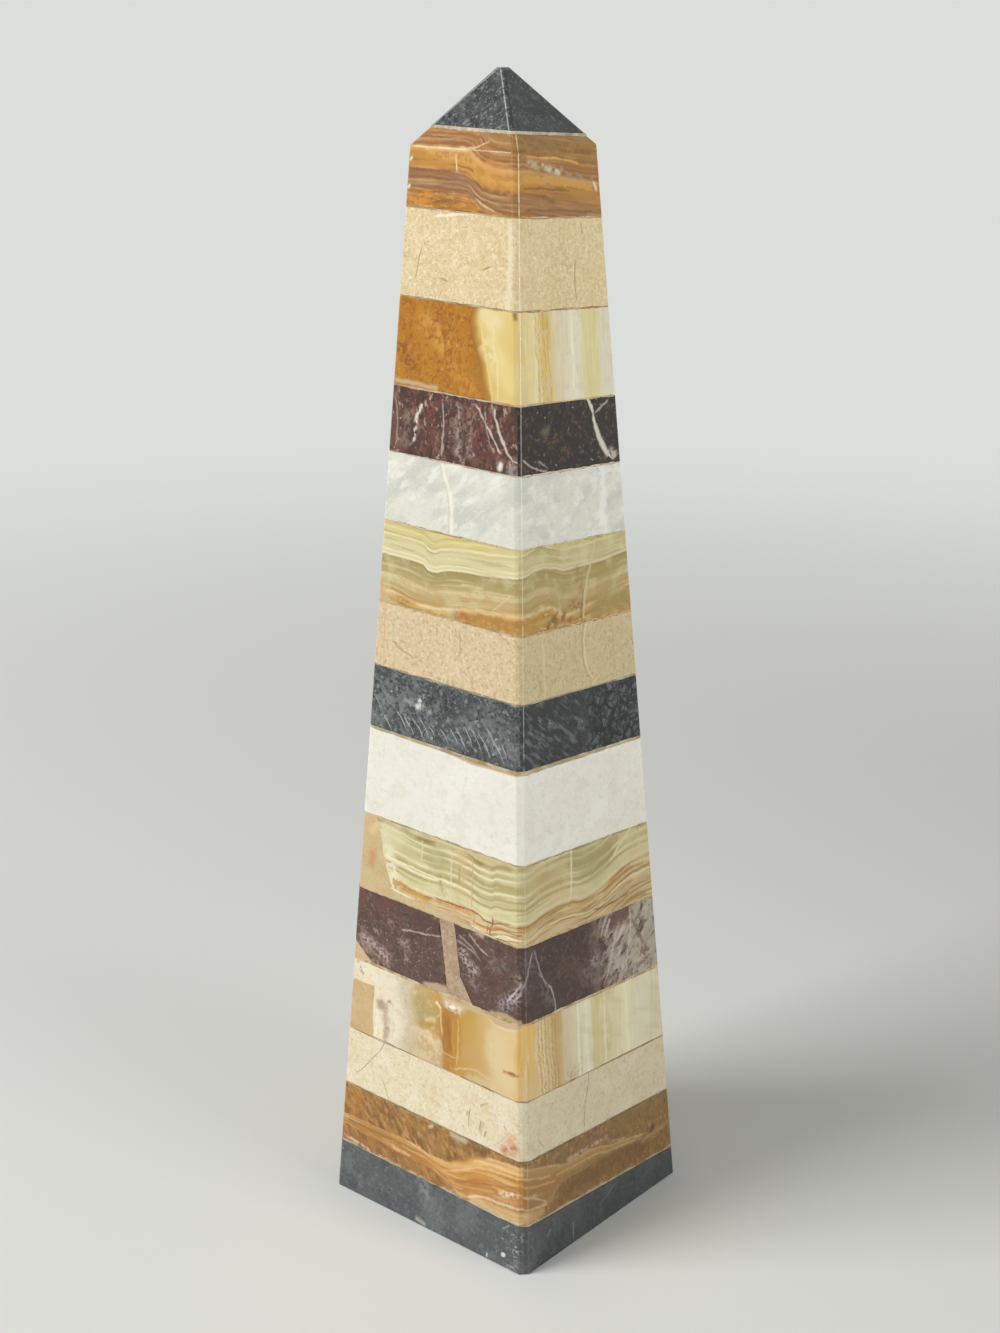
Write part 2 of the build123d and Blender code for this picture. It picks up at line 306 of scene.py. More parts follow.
class Finish:
    """A stone's material in the making. Places are millimetres, heights are over the course's foot.

    The solid place is where a point is in the slab, and the drawn place is where it is once the left
    side and the back are folded over. A face holds how far along it and how high up a point is."""

    FACE_FADE = (2.2, 0.8)
    CORNER_BLEND = 0.3
    DEPTH_SHARE = 0.33
    GRAIN_LEVELS = (0.42, 0.56)
    WOBBLE_SIZE, WOBBLE_REACH = 2.5, 1.5
    BEFORE_END, PAST_END = 0.5, 1.5
    ARRIS_FADE = (0.5, 0.1)
    FLECK_SPARE, FLECK_CORE = 0.8, 0.6
    CLOUDS_PER_MM, CLOUD_GLOSS, WORN_GLOSS = 0.35, 0.1, 0.6
    GRAINS_PER_MM, GRAIN_HEIGHT, GRAIN_STRENGTH = 1.2, 0.3 * MM, 0.05
    STONE_IOR = 1.5

    def __init__(self, name, colour, foot=0.0):
        self.material = bpy.data.materials.new(name)
        self.material.use_nodes = True
        self.tree = self.material.node_tree
        self.shader = self.tree.nodes["Principled BSDF"]
        self.colour = linear(colour)
        whole = self.add("TexCoord")["Object"]
        on_shaft = self.add("Group", {"Place": whole}, node_tree=shaft_place)
        drawn, under_front, under_side, self.from_edge = on_shaft
        down = (0, 0, -foot)
        self.solid = self.add("Mapping", {"Vector": whole, "Scale": (1 / MM,) * 3, "Location": down})[0]
        self.drawn = self.add("Mapping", {"Vector": drawn, "Location": down})[0]
        self.under = (under_front, under_side)
        self.on = [self.level(under, *self.FACE_FADE) for under in self.under]
        lead = self.add("Math", [under_side, under_front], operation="SUBTRACT")[0]
        self.is_front = self.level(lead, -self.CORNER_BLEND, self.CORNER_BLEND)
        wobble = {"Vector": self.solid, "Scale": 1 / self.WOBBLE_SIZE, "Detail": 3.0}
        self.wobble = self.add("Math", [self.add("TexNoise", wobble)["Fac"], 0.5], operation="SUBTRACT")[0]
        self.front, self.side = self.faces(self.drawn)

    def add(self, kind, inputs=(), **settings):
        return add(self.tree, kind, inputs, **settings)

    def faces(self, place):
        """The front face and the right-hand face at a place. Depth under a face counts a third as far."""
        x, y, z = self.add("SeparateXYZ", [place])
        made = []
        for along, under, on in zip((x, y), self.under, self.on):
            depth = self.add("Math", [under, self.DEPTH_SHARE], operation="MULTIPLY")[0]
            view = self.add("CombineXYZ", [along, z, depth])[0]
            made.append(SimpleNamespace(along=along, up=z, on=on, view=view))
        return made

    def stirred(self, size, reach, place=None):
        """Places moved about by noise with lumps of this size, by up to half the reach each way."""
        drift = self.add("TexNoise", {"Vector": self.solid, "Scale": 1 / size, "Detail": 2.0})["Color"]
        push = self.add("VectorMath", [drift, (-0.5,) * 3], operation="ADD")[0]
        return self.add("VectorMath", [push, (reach,) * 3, place or self.drawn], operation="MULTIPLY_ADD")[0]

    def level(self, value, low, high, most=1.0):
        """Nothing up to the low value, and all of it from the high one on."""
        inputs = {"Value": value, "From Min": low, "From Max": high, "To Max": most}
        return self.add("MapRange", inputs, interpolation_type="SMOOTHSTEP", clamp=False)[0]

    def both(self, *masks):
        """Where every one of these masks is."""
        result = masks[0]
        for mask in masks[1:]:
            result = self.add("Math", [result, mask], operation="MULTIPLY")[0]
        return result

    def lumps(self, size, low, high, most=1.0, detail=3.0, rough=0.5, stretch=None, place=None):
        """Blotches of a size, where noise is over the low level, and all there from the high level on."""
        place = place or self.solid
        if stretch:
            place = self.add("VectorMath", [place, stretch], operation="MULTIPLY")[0]
        inputs = {"Vector": place, "Scale": 1 / size, "Detail": detail, "Roughness": rough}
        return self.level(self.add("TexNoise", inputs)["Fac"], low, high, most)

    def threads(self, size, width, most, detail):
        """Thin winding lines, where noise with lumps of a size crosses its middle."""
        noise = self.add("TexNoise", {"Vector": self.solid, "Scale": 1 / size, "Detail": detail})["Fac"]
        off = self.add("Math", [noise, 0.5], operation="SUBTRACT")[0]
        off = self.add("Math", [off], operation="ABSOLUTE")[0]
        return self.level(off, width, 0.0, most)

    def flecks(self, size, share, spread, most):
        """Crisp specks about a size apart, in this share of the places where there could be one."""
        cells = self.add("TexVoronoi", {"Vector": self.stirred(size, size, self.solid), "Scale": 1 / size})
        chosen = self.add("SeparateColor", [cells["Color"]])[0]
        chosen = self.level(chosen, 1 - share, 1 - share * self.FLECK_SPARE, most)
        return self.both(self.level(cells["Distance"], spread, spread * self.FLECK_CORE), chosen)

    def cracks(self, size, width, most, place):
        """A net of thin lines round broken lumps of a size."""
        net = self.add("TexVoronoi", {"Vector": place, "Scale": 1 / size}, feature="DISTANCE_TO_EDGE")[0]
        return self.level(net, width / size, 0.0, most)

    def profile(self, along, points):
        """The height of a smooth line through points, at a distance along it."""
        starts, heights = zip(*points)
        low, high = min(heights), max(heights)
        inputs = {"Value": along, "From Min": starts[0], "From Max": starts[-1]}
        bent = self.add("FloatCurve", {"Value": self.add("MapRange", inputs, clamp=False)[0]})[0]
        mapping = bent.node.mapping
        line = mapping.curves[0].points
        while len(line) < len(points):
            line.new(0.5, 0.5)
        for point, start, height in zip(line, starts, heights):
            point.location = ((start - starts[0]) / (starts[-1] - starts[0]), (height - low) / (high - low))
        mapping.update()
        return self.add("MapRange", {"Value": bent, "To Min": low, "To Max": high}, clamp=False)[0]

    def over(self, face, points):
        """How far over a smooth line through points a place on a face is."""
        return self.add("Math", [face.up, self.profile(face.along, points)], operation="SUBTRACT")[0]

    def by_face(self, front, side):
        """One value on the front face and another on the right-hand one."""
        return self.add("Mix", {0: self.is_front, 2: side, 3: front})[0]

    def seam(self, face, points, width, fade, most, upright):
        """A line on a face, through points in order along it, or up it when it is upright."""
        along, across = (face.up, face.along) if upright else (face.along, face.up)
        if upright:
            points = sorted((up, out) for out, up in points)
        off = self.add("Math", [across, self.profile(along, points)], operation="SUBTRACT")[0]
        off = self.add("Math", [off], operation="ABSOLUTE")[0]
        off = self.add("Math", [self.wobble, width * self.WOBBLE_REACH, off], operation="MULTIPLY_ADD")[0]
        line = self.level(off, width / 2 + fade, max(width / 2 - fade, 0), most)
        first = self.level(along, points[0][0] - self.BEFORE_END, points[0][0] + self.PAST_END)
        last = self.level(along, points[-1][0] + self.BEFORE_END, points[-1][0] - self.PAST_END)
        return self.both(line, first, last, face.on)

    def stroke(self, face, points, width, fade, most=1.0):
        """A patch round straight runs between points on a face, as wide as given, then fading out."""
        nearest = None
        for start, end in zip(points, points[1:]):
            inputs = {"Place": face.view, "Start": (*start, 0), "End": (*end, 0)}
            off = self.add("Group", inputs, node_tree=line_distance)[0]
            nearest = self.add("Math", [nearest, off], operation="MINIMUM")[0] if nearest else off
        return self.level(nearest, width / 2 + fade, max(width / 2 - fade, 0), most)

    def bands(self, value, stops):
        """Bands of colour by a value in millimetres or a share, given as (value, colour) in order."""
        low, high = stops[0][0], stops[-1][0]
        share = self.add("MapRange", {"Value": value, "From Min": low, "From Max": high}, clamp=False)[0]
        outputs = self.add("ValToRGB", [share])
        ramp = outputs[0].node.color_ramp
        while len(ramp.elements) < len(stops):
            ramp.elements.new(0.5)
        for element, stop in zip(ramp.elements, stops):
            element.position = (stop[0] - low) / (high - low)
        for element, stop in zip(ramp.elements, stops):
            element.color = linear(stop[1])
        return outputs["Color"]

    def layered(self, flow, scale=None):
        """Places along the layers of a stone, with how far up its layers in place of the height."""
        x, y, z = self.add("SeparateXYZ", [self.solid])
        if scale:
            flow = self.add("Math", [flow, scale], operation="MULTIPLY")[0]
        return self.add("CombineXYZ", [x, y, flow])[0]

    def tint(self, mask, colour):
        """Lays a colour over what is there, where the mask is."""
        colour = linear(colour) if isinstance(colour, str) else colour
        self.colour = self.add("MixRGB", {"Fac": mask, "Color1": self.colour, "Color2": colour})[0]

    def tint_and_shade_side(self, colour, most):
        """Tones the whole of the right-hand face: partly its own tint, partly painted shade."""
        self.tint(self.level(self.is_front, 1, 0, most), colour)

    def mottle(self, blotches, within=None, place=None):
        """Lays blotches over each other, each row being a colour and what lumps takes."""
        for colour, *sizes in blotches:
            mask = self.lumps(*sizes, place=place)
            self.tint(self.both(within, mask) if within else mask, colour)

    def patch(self, face, points, width, colour, fade=2.0, grain=0, most=0.9):
        """Colours a patch on a face, and only its grains where a size of grain is given."""
        mask = self.stroke(face, points, width, fade, most)
        if grain:
            mask = self.both(mask, self.lumps(grain, *self.GRAIN_LEVELS, 1.0, 5))
        self.tint(mask, colour)

    def line(self, face, points, width, colour, fade=0.4, most=0.9, upright=False):
        """Colours a line on a face."""
        self.tint(self.seam(face, points, width, fade, most, upright), colour)

    def patches(self, face, rows):
        """Colours patches on a face one after the other, each row being what patch takes."""
        for row in rows:
            self.patch(face, *row)

    def lines(self, face, rows, fade=0.4, most=0.9, upright=False):
        """Colours lines on a face one after the other. A row may end in a fade and a most of its own."""
        for points, width, colour, *own in rows:
            self.line(face, points, width, colour, *(own or (fade, most)), upright=upright)

    def polish(self, rough, worn="#b9bbb8", wear_and_highlight_most=0.4, wear_and_highlight_side=(1.3, 0)):
        """Ends the material: pale lines along the edges of the arrises, partly wear and partly painted
        highlight, and a polish that varies.

        The pale line is stronger on the right-hand face, or on the front with (-0.3, 1)."""
        edge = self.add("Math", [self.from_edge], operation="ABSOLUTE")[0]
        edge = self.both(self.level(edge, *self.ARRIS_FADE, wear_and_highlight_most), self.lumps(2.5, 0.3, 0.55))
        edge = self.both(edge, self.level(self.is_front, *wear_and_highlight_side))
        # Pale arris lines: partly wear, partly painted highlight.
        self.tint(edge, worn)
        inputs = {"Vector": self.solid, "Scale": self.CLOUDS_PER_MM, "Detail": 2.0}
        gloss = self.add("TexNoise", inputs)["Fac"]
        inputs = {"Value": gloss, "To Min": rough - self.CLOUD_GLOSS, "To Max": rough + self.CLOUD_GLOSS}
        gloss = self.add("MapRange", inputs, clamp=False)[0]
        inputs = {"Value": edge, "To Min": gloss, "To Max": self.WORN_GLOSS}
        gloss = self.add("MapRange", inputs, clamp=False)[0]
        inputs = {"Vector": self.solid, "Scale": self.GRAINS_PER_MM, "Detail": 3.0}
        grain = self.add("TexNoise", inputs)["Fac"]
        inputs = {"Height": grain, "Strength": self.GRAIN_STRENGTH, "Distance": self.GRAIN_HEIGHT}
        relief = self.add("Bump", inputs)[0]
        for socket, value in (("Base Color", self.colour), ("Roughness", gloss), ("Normal", relief)):
            self.tree.links.new(value, self.shader.inputs[socket])
        self.shader.inputs["IOR"].default_value = self.STONE_IOR
        return self.material


stone = Finish("charcoal limestone, polished", "#54595a")
stone.mottle([
    ("#6d7475", 13, 0.4, 0.7, 0.8, 6),
    ("#43494c", 6, 0.48, 0.7, 0.7, 5),
    ("#7d8485", 2.0, 0.5, 0.72, 0.7, 5, 0.65),
    ("#34393c", 1.2, 0.54, 0.7, 0.6),
])
stone.tint(stone.flecks(3.2, 0.12, 0.16, 0.7), "#9aa09e")
stone.mottle([("#9aa0a0", 3, 0.4, 0.6)], within=stone.stroke(stone.front, [(-3, 21), (0, 12)], 5, 3, 0.6))
near_corner = stone.stroke(stone.front, [(46, 2), (48, 15)], 3, 4, 0.8)
stone.mottle([("#aaa9a6", 1.3, 0.52, 0.62, 1.0, 5)], within=near_corner)
near_corner = stone.stroke(stone.side, [(-47, 3), (-48, 17)], 1.6, 2.4, 0.5)
stone.mottle([("#a0a09d", 1.5, 0.5, 0.6, 1.0, 5)], within=near_corner)
PALE_BLOT = "#dcdbd6"
stone.patches(stone.front, [
    ([(41.3, 5.4), (41.7, 5.6)], 1.9, PALE_BLOT, 0.35, 0, 1.0),
    ([(33.0, 1.3), (33.2, 2.4)], 0.7, PALE_BLOT, 0.4, 0, 0.8),
    ([(-5, 2.2), (-1, 1.6)], 1.4, PALE_BLOT, 1.0, 0, 0.45),
    ([(41, 17), (44, 19.5)], 0.4, PALE_BLOT, 0.4, 0, 0.35),
])
stone.patches(stone.side, [
    ([(-20.4, 2), (-20.2, 9)], 0.4, PALE_BLOT, 0.4, 0, 0.4),
    ([(-37, 11), (-35, 13)], 0.5, PALE_BLOT, 0.7, 0, 0.3),
    ([(-2, 9), (10, 14)], 0.2, PALE_BLOT, 0.6, 0, 0.2),
])
# Painted shade over the right-hand face, with some of its own tint.
stone.tint_and_shade_side("#2f3436", 0.38)
ground_piece("charcoal_base", stone.polish(0.3, wear_and_highlight_most=0.15))


# ---- Resin glue lines ----------------------------------------------------------------------------
# Polyester resin squeezed between the slabs, coloured by the dust of the stones it lies between. It
# is softer than stone, so polishing has left it a hair under the faces, filling the crumbled rims.

RESIN_RECESS = 0.998
BED_FILL = 0.6 * MM
BED_RISE_X, BED_RISE_Y = -0.012, -0.080
FILL_GROWTH = 1.03
BED_COLOURS = (
    "#c9b79f", "#94805f", "#a08566", "#cfb184", "#c9ac80", "#cbb58a", "#b39c74", "#86806f",
    "#c6a878", "#d0bc84", "#c8b2a4", "#b9a384", "#a5845a", "#b09064", "#b5a893",
)


def bed_height(number):
    """The height on the axis of a glue line, in millimetres."""
    low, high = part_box(f"resin_bed_{number:02d}")
    return (low[2] + high[2]) / 2 / MM


def over_bed(finish, size, reach):
    """How far over the glue line under its course a place in a stone is, made ragged by noise."""
    inputs = [finish.stirred(size, reach, finish.solid), (-BED_RISE_X, -BED_RISE_Y, 1)]
    return finish.add("VectorMath", inputs, operation="DOT_PRODUCT")["Value"]


for number, colour in enumerate(BED_COLOURS, start=1):
    glue = Finish(f"polyester resin, bed {number}", colour)
    glue.mottle([
        ("#e0d2b6", 9, 0.4, 0.6, 0.5),
        ("#8a7250", 6, 0.5, 0.62, 0.5),
        ("#7d6546", 1.6, 0.54, 0.7, 0.5, 5),
    ])
    bed = ground_piece(f"resin_bed_{number:02d}", glue.polish(0.4, worn=colour), RESIN_RECESS)
    height = bed_height(number) * MM
    for point in bed.data.vertices:
        rise = BED_RISE_X * point.co.x + BED_RISE_Y * point.co.y
        point.co.z += BED_FILL if point.co.z > height + rise else -BED_FILL

filler = Finish("polyester resin, filled with stone dust", "#d0b27f")
filler.mottle([
    ("#d9bd90", 9, 0.4, 0.65, 0.6),
    ("#c4a06c", 4, 0.5, 0.68, 0.4),
    ("#b8925f", 1.3, 0.54, 0.7, 0.4, 5),
])
filler.tint(filler.flecks(1.6, 0.12, 0.3, 0.5), "#ecdcbc")
filler_material = filler.polish(0.38, worn="#e6d3ae")


def fill_piece(node, material):
    """A lump of resin that makes up a broken corner, grown a little into the crumbled stone round it."""
    lump = ground_piece(node, material, RESIN_RECESS)
    corner = min((point.co for point in lump.data.vertices), key=lambda place: place.x + place.y).copy()
    for point in lump.data.vertices:
        point.co = corner + (point.co - corner) * FILL_GROWTH


# ---- Lower brown onyx ----------------------------------------------------------------------------
# Banded brown onyx. The bright bands run level from the left, fan out towards the near corner and
# sink again along the right-hand face. The stone over them is dull and granular, and under them brown.

brown = Finish("brown onyx, banded", "#a37533", bed_height(1))
front, side = brown.faces(brown.stirred(9, 2.4))
shares = []
for face, top_line, foot_line in (
    (
        front,
        [(-52, 17), (-35, 16.8), (-20, 17.4), (-10, 17.2), (-3, 16.4), (5, 15.9), (10, 16.6), (15, 18.4),
         (20, 21.2), (25, 24), (30, 25.8), (38, 27.2), (52, 28.8)],
        [(-52, 12.8), (-20, 11.4), (-5, 10.8), (3, 9.8), (8, 8), (13, 5.6), (18, 4.6), (24, 6.4), (30, 8.6),
         (38, 9.3), (52, 11.6)],
    ),
    (
        side,
        [(-52, 28.8), (-40, 25), (-30, 21.5), (-25, 19.6), (-10, 18.6), (0, 17), (10, 13.8), (20, 12.2),
         (32, 9.6), (52, 8)],
        [(-52, 11.6), (-46, 9.6), (-40, 8), (-35, 7.4), (-31, 10.2), (-25, 12.2), (-10, 11.8), (10, 10.2),
         (25, 8.4), (32, 7.6), (52, 6)],
    ),
):
    top, foot = brown.profile(face.along, top_line), brown.profile(face.along, foot_line)
    inputs = {"Value": face.up, "From Min": foot, "From Max": top}
    shares.append(brown.add("MapRange", inputs, clamp=False)[0])
share = brown.by_face(*shares)
brown.colour = brown.bands(share, [
    (-3, "#96692e"), (-0.6, "#9c6f35"), (-0.12, "#94672d"), (0.0, "#b8834a"), (0.1, "#c68f50"),
    (0.25, "#bd8239"), (0.36, "#cb8f44"), (0.44, "#c1823a"), (0.55, "#d2953f"), (0.66, "#c98c3c"),
    (0.77, "#dba556"), (0.9, "#e2b066"), (0.98, "#cf9a52"), (1.06, "#a9783a"), (1.3, "#a37533"),
    (3, "#a57836"),
])
along_bands = brown.layered(share, 7.0)
in_bands = brown.both(brown.level(share, -0.05, 0.05), brown.level(share, 1.02, 0.95))
on_left = brown.both(in_bands, brown.level(front.along, 6, -8), brown.is_front)
brown.tint(brown.both(on_left, brown.level(share, 1.3, 0.9, 0.7)), "#ad7a35")
brown.mottle([
    ("#ecc68a", 0.9, 0.5, 0.66, 0.6, 4, 0.5, (0.05, 0.05, 1)),
    ("#ae712a", 1.1, 0.51, 0.68, 0.6, 4, 0.5, (0.05, 0.05, 1)),
], within=in_bands, place=along_bands)
# Painted shade over the right-hand face, with some of its own tint.
brown.tint_and_shade_side("#8d7047", 0.4)
turn = {"Vector": brown.solid, "Angle": math.radians(40)}
aslant = brown.add("VectorRotate", turn, rotation_type="Y_AXIS")[0]
under = brown.level(share, 0.02, -0.06)
granular = brown.level(share, 0.98, 1.1)
brown.mottle([("#ad7a38", 6, 0.46, 0.61, 0.6, 5, 0.5, (1, 1, 1))], within=under)
brown.mottle([
    ("#7d5426", 2.6, 0.48, 0.63, 0.65, 5, 0.5, (1, 1, 0.4)),
    ("#c8924e", 1.8, 0.5, 0.65, 0.65, 5, 0.5, (1, 1, 0.35)),
], within=under, place=aslant)
brown.mottle([
    ("#85592a", 8, 0.45, 0.6, 0.6, 5, 0.5, (1, 1, 0.7)),
    ("#bd8742", 4, 0.48, 0.63, 0.65, 5, 0.5, (1, 1, 0.8)),
    ("#7d5628", 2.4, 0.5, 0.65, 0.65, 5, 0.5, (1, 1, 0.8)),
], within=granular)
brown.mottle([
    ("#cc9a5c", 1.6, 0.5, 0.65, 0.75, 5, 0.5, (1, 1, 0.35)),
    ("#74501f", 1.5, 0.5, 0.65, 0.75, 5, 0.5, (1, 1, 0.35)),
], within=granular, place=aslant)
# Painted shade over the right-hand face, with some of its own tint.
brown.tint_and_shade_side("#7f6842", 0.35)
warm_end = brown.stroke(brown.front, [(-50, 28), (-42, 22)], 8, 9, 0.75)
brown.tint(brown.both(granular, warm_end, brown.lumps(4, 0.35, 0.6)), "#b97c2a")
front, side = brown.faces(brown.stirred(6, 1.6))
brown.patches(front, [
    ([(25, 5.6), (34, 5.6), (52, 7)], 4.4, "#dfb880", 1.4, 0, 0.95),
    ([(39.5, 14.2), (44, 15.4), (47, 16.4)], 2.4, "#ecdfc8", 1.2, 1.6, 0.9),
    ([(41, 11.6), (47, 12.4)], 1.2, "#c9a678", 1, 1.5, 0.8),
    ([(20, 29.7), (30, 29.2)], 1.2, "#7b5a34", 0.9, 2, 0.8),
    ([(0.4, 28.8), (1.6, 29.3)], 1.2, "#e0cfae", 0.7, 0, 0.8),
    ([(12.5, 29.8), (19.5, 29.4)], 2.2, "#cbbd9f", 0.9, 0, 0.85),
    ([(14, 27.6), (17, 27.4)], 1.4, "#a89a80", 1, 1.6, 0.7),
    ([(20.5, 28.6), (30, 27.6)], 2.0, "#705428", 1, 2.2, 0.7),
    ([(-2, 23), (6, 20)], 6, "#a77c50", 3, 2.6, 0.7),
    ([(-34, 24), (-28, 20)], 3, "#7d5a2c", 1.6, 2, 0.7),
    ([(-44, 31.6), (-20, 31.2), (8, 30.6)], 1, "#b99a76", 0.8, 2.6, 0.7),
    ([(-47, 7), (-40, 6.2), (-33, 5.2)], 0.9, "#d8c6a8", 0.6, 3, 0.95),
])
brown.patches(side, [
    ([(-48, 5), (-40, 5.6)], 4, "#c9a06c", 1.6, 0, 0.8),
    ([(-47, 16), (-42, 13)], 4, "#a8743c", 2, 2, 0.6),
    ([(-44, 14.6), (-40, 12.6)], 1.6, "#cdb693", 1.2, 2, 0.7),
    ([(30, 27), (38, 20)], 9, "#a68a58", 3, 2.6, 0.4),
    ([(-32, 27), (-20, 25), (0, 24)], 6, "#7d6343", 3, 3.4, 0.7),
    ([(-22, 20.6), (-8, 20), (4, 19.6)], 1.4, "#cfb096", 1, 1.5, 0.8),
    ([(6, 16.4), (16, 13.6)], 1.2, "#c0a478", 0.8, 1.6, 0.7),
    ([(10, 26), (22, 22)], 6, "#8c7a4c", 3, 3, 0.6),
    ([(36, 10), (34, 8)], 2.4, "#5f4420", 1, 0, 0.8),
    ([(-24, 8), (0, 7.6), (28, 5)], 8, "#68481f", 3, 0, 0.45),
    ([(-40, 16), (-30, 13)], 5, "#a9752f", 2.4, 3, 0.8),
    ([(-24, 16.4), (-6, 15.4)], 4, "#b28d56", 2.4, 4, 0.6),
    ([(4, 12.4), (16, 10.8), (30, 8.6)], 1.6, "#b08f66", 1.4, 4, 0.7),
    ([(12, 22), (44, 17)], 12, "#8a7138", 4, 4, 0.55),
    ([(30, 6.4), (38, 6.6)], 2, "#a08250", 1.4, 3, 0.7),
])
brown.lines(front, [
    ([(-46, 16.8), (-38, 17.0), (-28, 16.9)], 0.9, "#c98f4c"),
    ([(-21, 17.2), (-14, 17.5), (-8, 17.2), (-2, 16.2), (6, 15.8), (14, 17.4)], 0.9, "#dba860"),
    ([(-46, 14.6), (-30, 14.8), (-14, 14.6)], 0.7, "#8f6a2c"),
    ([(-12, 17.5), (-5, 16.9), (2, 15.9), (9, 16.2)], 1.1, "#e8c088"),
    ([(-34, 12.7), (-26, 12.5), (-18, 12.0), (-9, 11.7)], 0.6, "#c99858"),
    ([(-21, 12.1), (-15, 11.7), (-9.4, 11.6)], 1.3, "#e6bc84"),
    ([(8, 12), (16, 14.5), (24, 18), (32, 19.6), (44, 20.5)], 0.6, "#e6b468"),
    ([(12, 13.6), (20, 17), (28, 21), (38, 22.6), (52, 23.6)], 0.7, "#efc98e"),
    ([(24, 22), (32, 24.4), (40, 25), (52, 25.4)], 0.8, "#f0cf98"),
    ([(30, 26.2), (38, 27.4), (52, 28.4)], 0.8, "#ebc794"),
    ([(14, 9.6), (22, 12), (30, 14.6), (38, 16.4), (52, 17.4)], 0.6, "#a96b28"),
    ([(10, 9), (18, 9.2), (26, 11), (36, 13.4)], 0.6, "#dea85c"),
    ([(34, 18), (42, 18.8), (52, 19.2)], 0.8, "#b97a38"),
    ([(21, 5.2), (26, 7.4), (31, 8.8), (38, 9.3), (44, 10), (52, 11.4)], 0.9, "#f2daaa"),
    ([(22, 4.2), (32, 3.7), (52, 4.8)], 0.6, "#ecd6a6"),
    ([(30, 6.7), (40, 6.2), (52, 7.6)], 0.5, "#c4925a"),
    ([(6, 9.8), (11, 7.2), (16, 5)], 0.8, "#8f5c26"),
], fade=0.5, most=0.75)
brown.lines(side, [
    ([(-52, 28.6), (-38, 24.2), (-30, 21.6), (-24, 19.6), (-12, 18.6), (-2, 17.4), (6, 14.6),
      (18, 12.4), (30, 9.8)], 0.8, "#c9a970"),
    ([(-30, 17.4), (-16, 15.9), (-4, 15.2), (6, 12.4), (14, 11.4), (24, 9.4)], 0.7, "#cfaa74"),
    ([(-52, 20.6), (-40, 17.4), (-30, 15)], 0.7, "#d2a466"),
    ([(-52, 25), (-42, 21.4), (-33, 18.6)], 0.7, "#d6ae74"),
    ([(-52, 16.4), (-44, 13.4), (-36, 7.8)], 0.8, "#d6bb96"),
    ([(-52, 11.2), (-44, 9), (-36, 7.3)], 0.8, "#dfba8c"),
    ([(27, 6), (31, 7.2), (36, 7.4), (44, 6.2)], 0.7, "#b9925c"),
], fade=0.5, most=0.75)
near_bed = brown.level(over_bed(brown, 2.5, 2.4), 1.4, 0.6, 0.8)
brown.mottle([("#c4ae92", 6, 0.44, 0.56, 1, 4)], within=near_bed)
ground_piece("brown_onyx_lower", brown.polish(0.28, worn="#ecd2a2"))


# ---- Lower cream marble --------------------------------------------------------------------------
# Fine cream marble with hairline cracks that have healed, a few pits, and one peach-coloured patch
# low at the near corner.

cream = Finish("cream marble", "#eadcba", bed_height(2))
cream.mottle([
    ("#f2e8cd", 9, 0.42, 0.64, 0.7, 5),
    ("#dfcca2", 4, 0.5, 0.68, 0.6, 5),
    ("#d2be90", 1.5, 0.52, 0.68, 0.6, 5),
    ("#faf3e0", 1.2, 0.54, 0.7, 0.7, 5),
])
# Painted shade over the right-hand face, with some of its own tint.
cream.tint_and_shade_side("#b3a57c", 0.22)
front, side = cream.faces(cream.stirred(5, 1.4))
HEALED = (0.25, "#8f8260", 0.3, 0.75)
cream.lines(front, [
    ([(-25, 30.6), (-28, 25), (-33, 19), (-37, 14), (-42, 10)], *HEALED),
    ([(-26, 12.5), (-24.4, 9), (-22.5, 5)], *HEALED),
    ([(22, 17), (21, 12), (22, 8)], *HEALED),
], upright=True)
cream.lines(side, [
    ([(-5.5, 25.5), (-7, 18), (-9.4, 10), (-10, 2.6)], *HEALED),
    ([(-40, 9.6), (-38, 7), (-36, 4.6)], *HEALED),
], upright=True)
PIT_EDGE = (0.45, 0, 0.75)
cream.patches(front, [
    ([(27.4, 9.5), (28.4, 13.0)], 1.8, "#d6b88c", *PIT_EDGE),
    ([(26.8, 10), (27.2, 13.5)], 0.5, "#a87f52", *PIT_EDGE),
    ([(29.3, 8), (30.2, 10.2)], 0.5, "#a87f52", *PIT_EDGE),
    ([(27, 20.4), (28.4, 21.4)], 0.9, "#c09a6e", *PIT_EDGE),
    ([(29.5, 22), (30.5, 22.4)], 0.6, "#c09a6e", *PIT_EDGE),
    ([(20, 14), (20.3, 15.2)], 0.6, "#b8966a", *PIT_EDGE),
    ([(39, 16), (40, 15)], 0.7, "#cfa484", *PIT_EDGE),
])
peach = cream.stroke(front, [(39.5, 6.5), (44, 12.5), (45, 5.5), (40, 5.5)], 3, 1.6)
cream.mottle([("#dfae8a", 2.5, 0.3, 0.5)], within=peach)
core = cream.stroke(front, [(40.5, 5.8), (45, 8.0)], 3, 1.4)
cream.mottle([("#c07c5e", 1.8, 0.38, 0.52)], within=core)
cream.line(front, [(35, 6), (39, 10.5), (43, 15.5)], 0.4, "#bf8a68", 0.3, 0.6)
ground_piece("cream_marble_lower", cream.polish(0.35, worn="#f6ecd2", wear_and_highlight_most=0.25))


# ---- Lower honey onyx ----------------------------------------------------------------------------
# Honey onyx with its bands on edge, so that they cross the right-hand face upright. The front face
# cuts them aslant through broken stone: white and cream, then amber clear as glass, then honey.

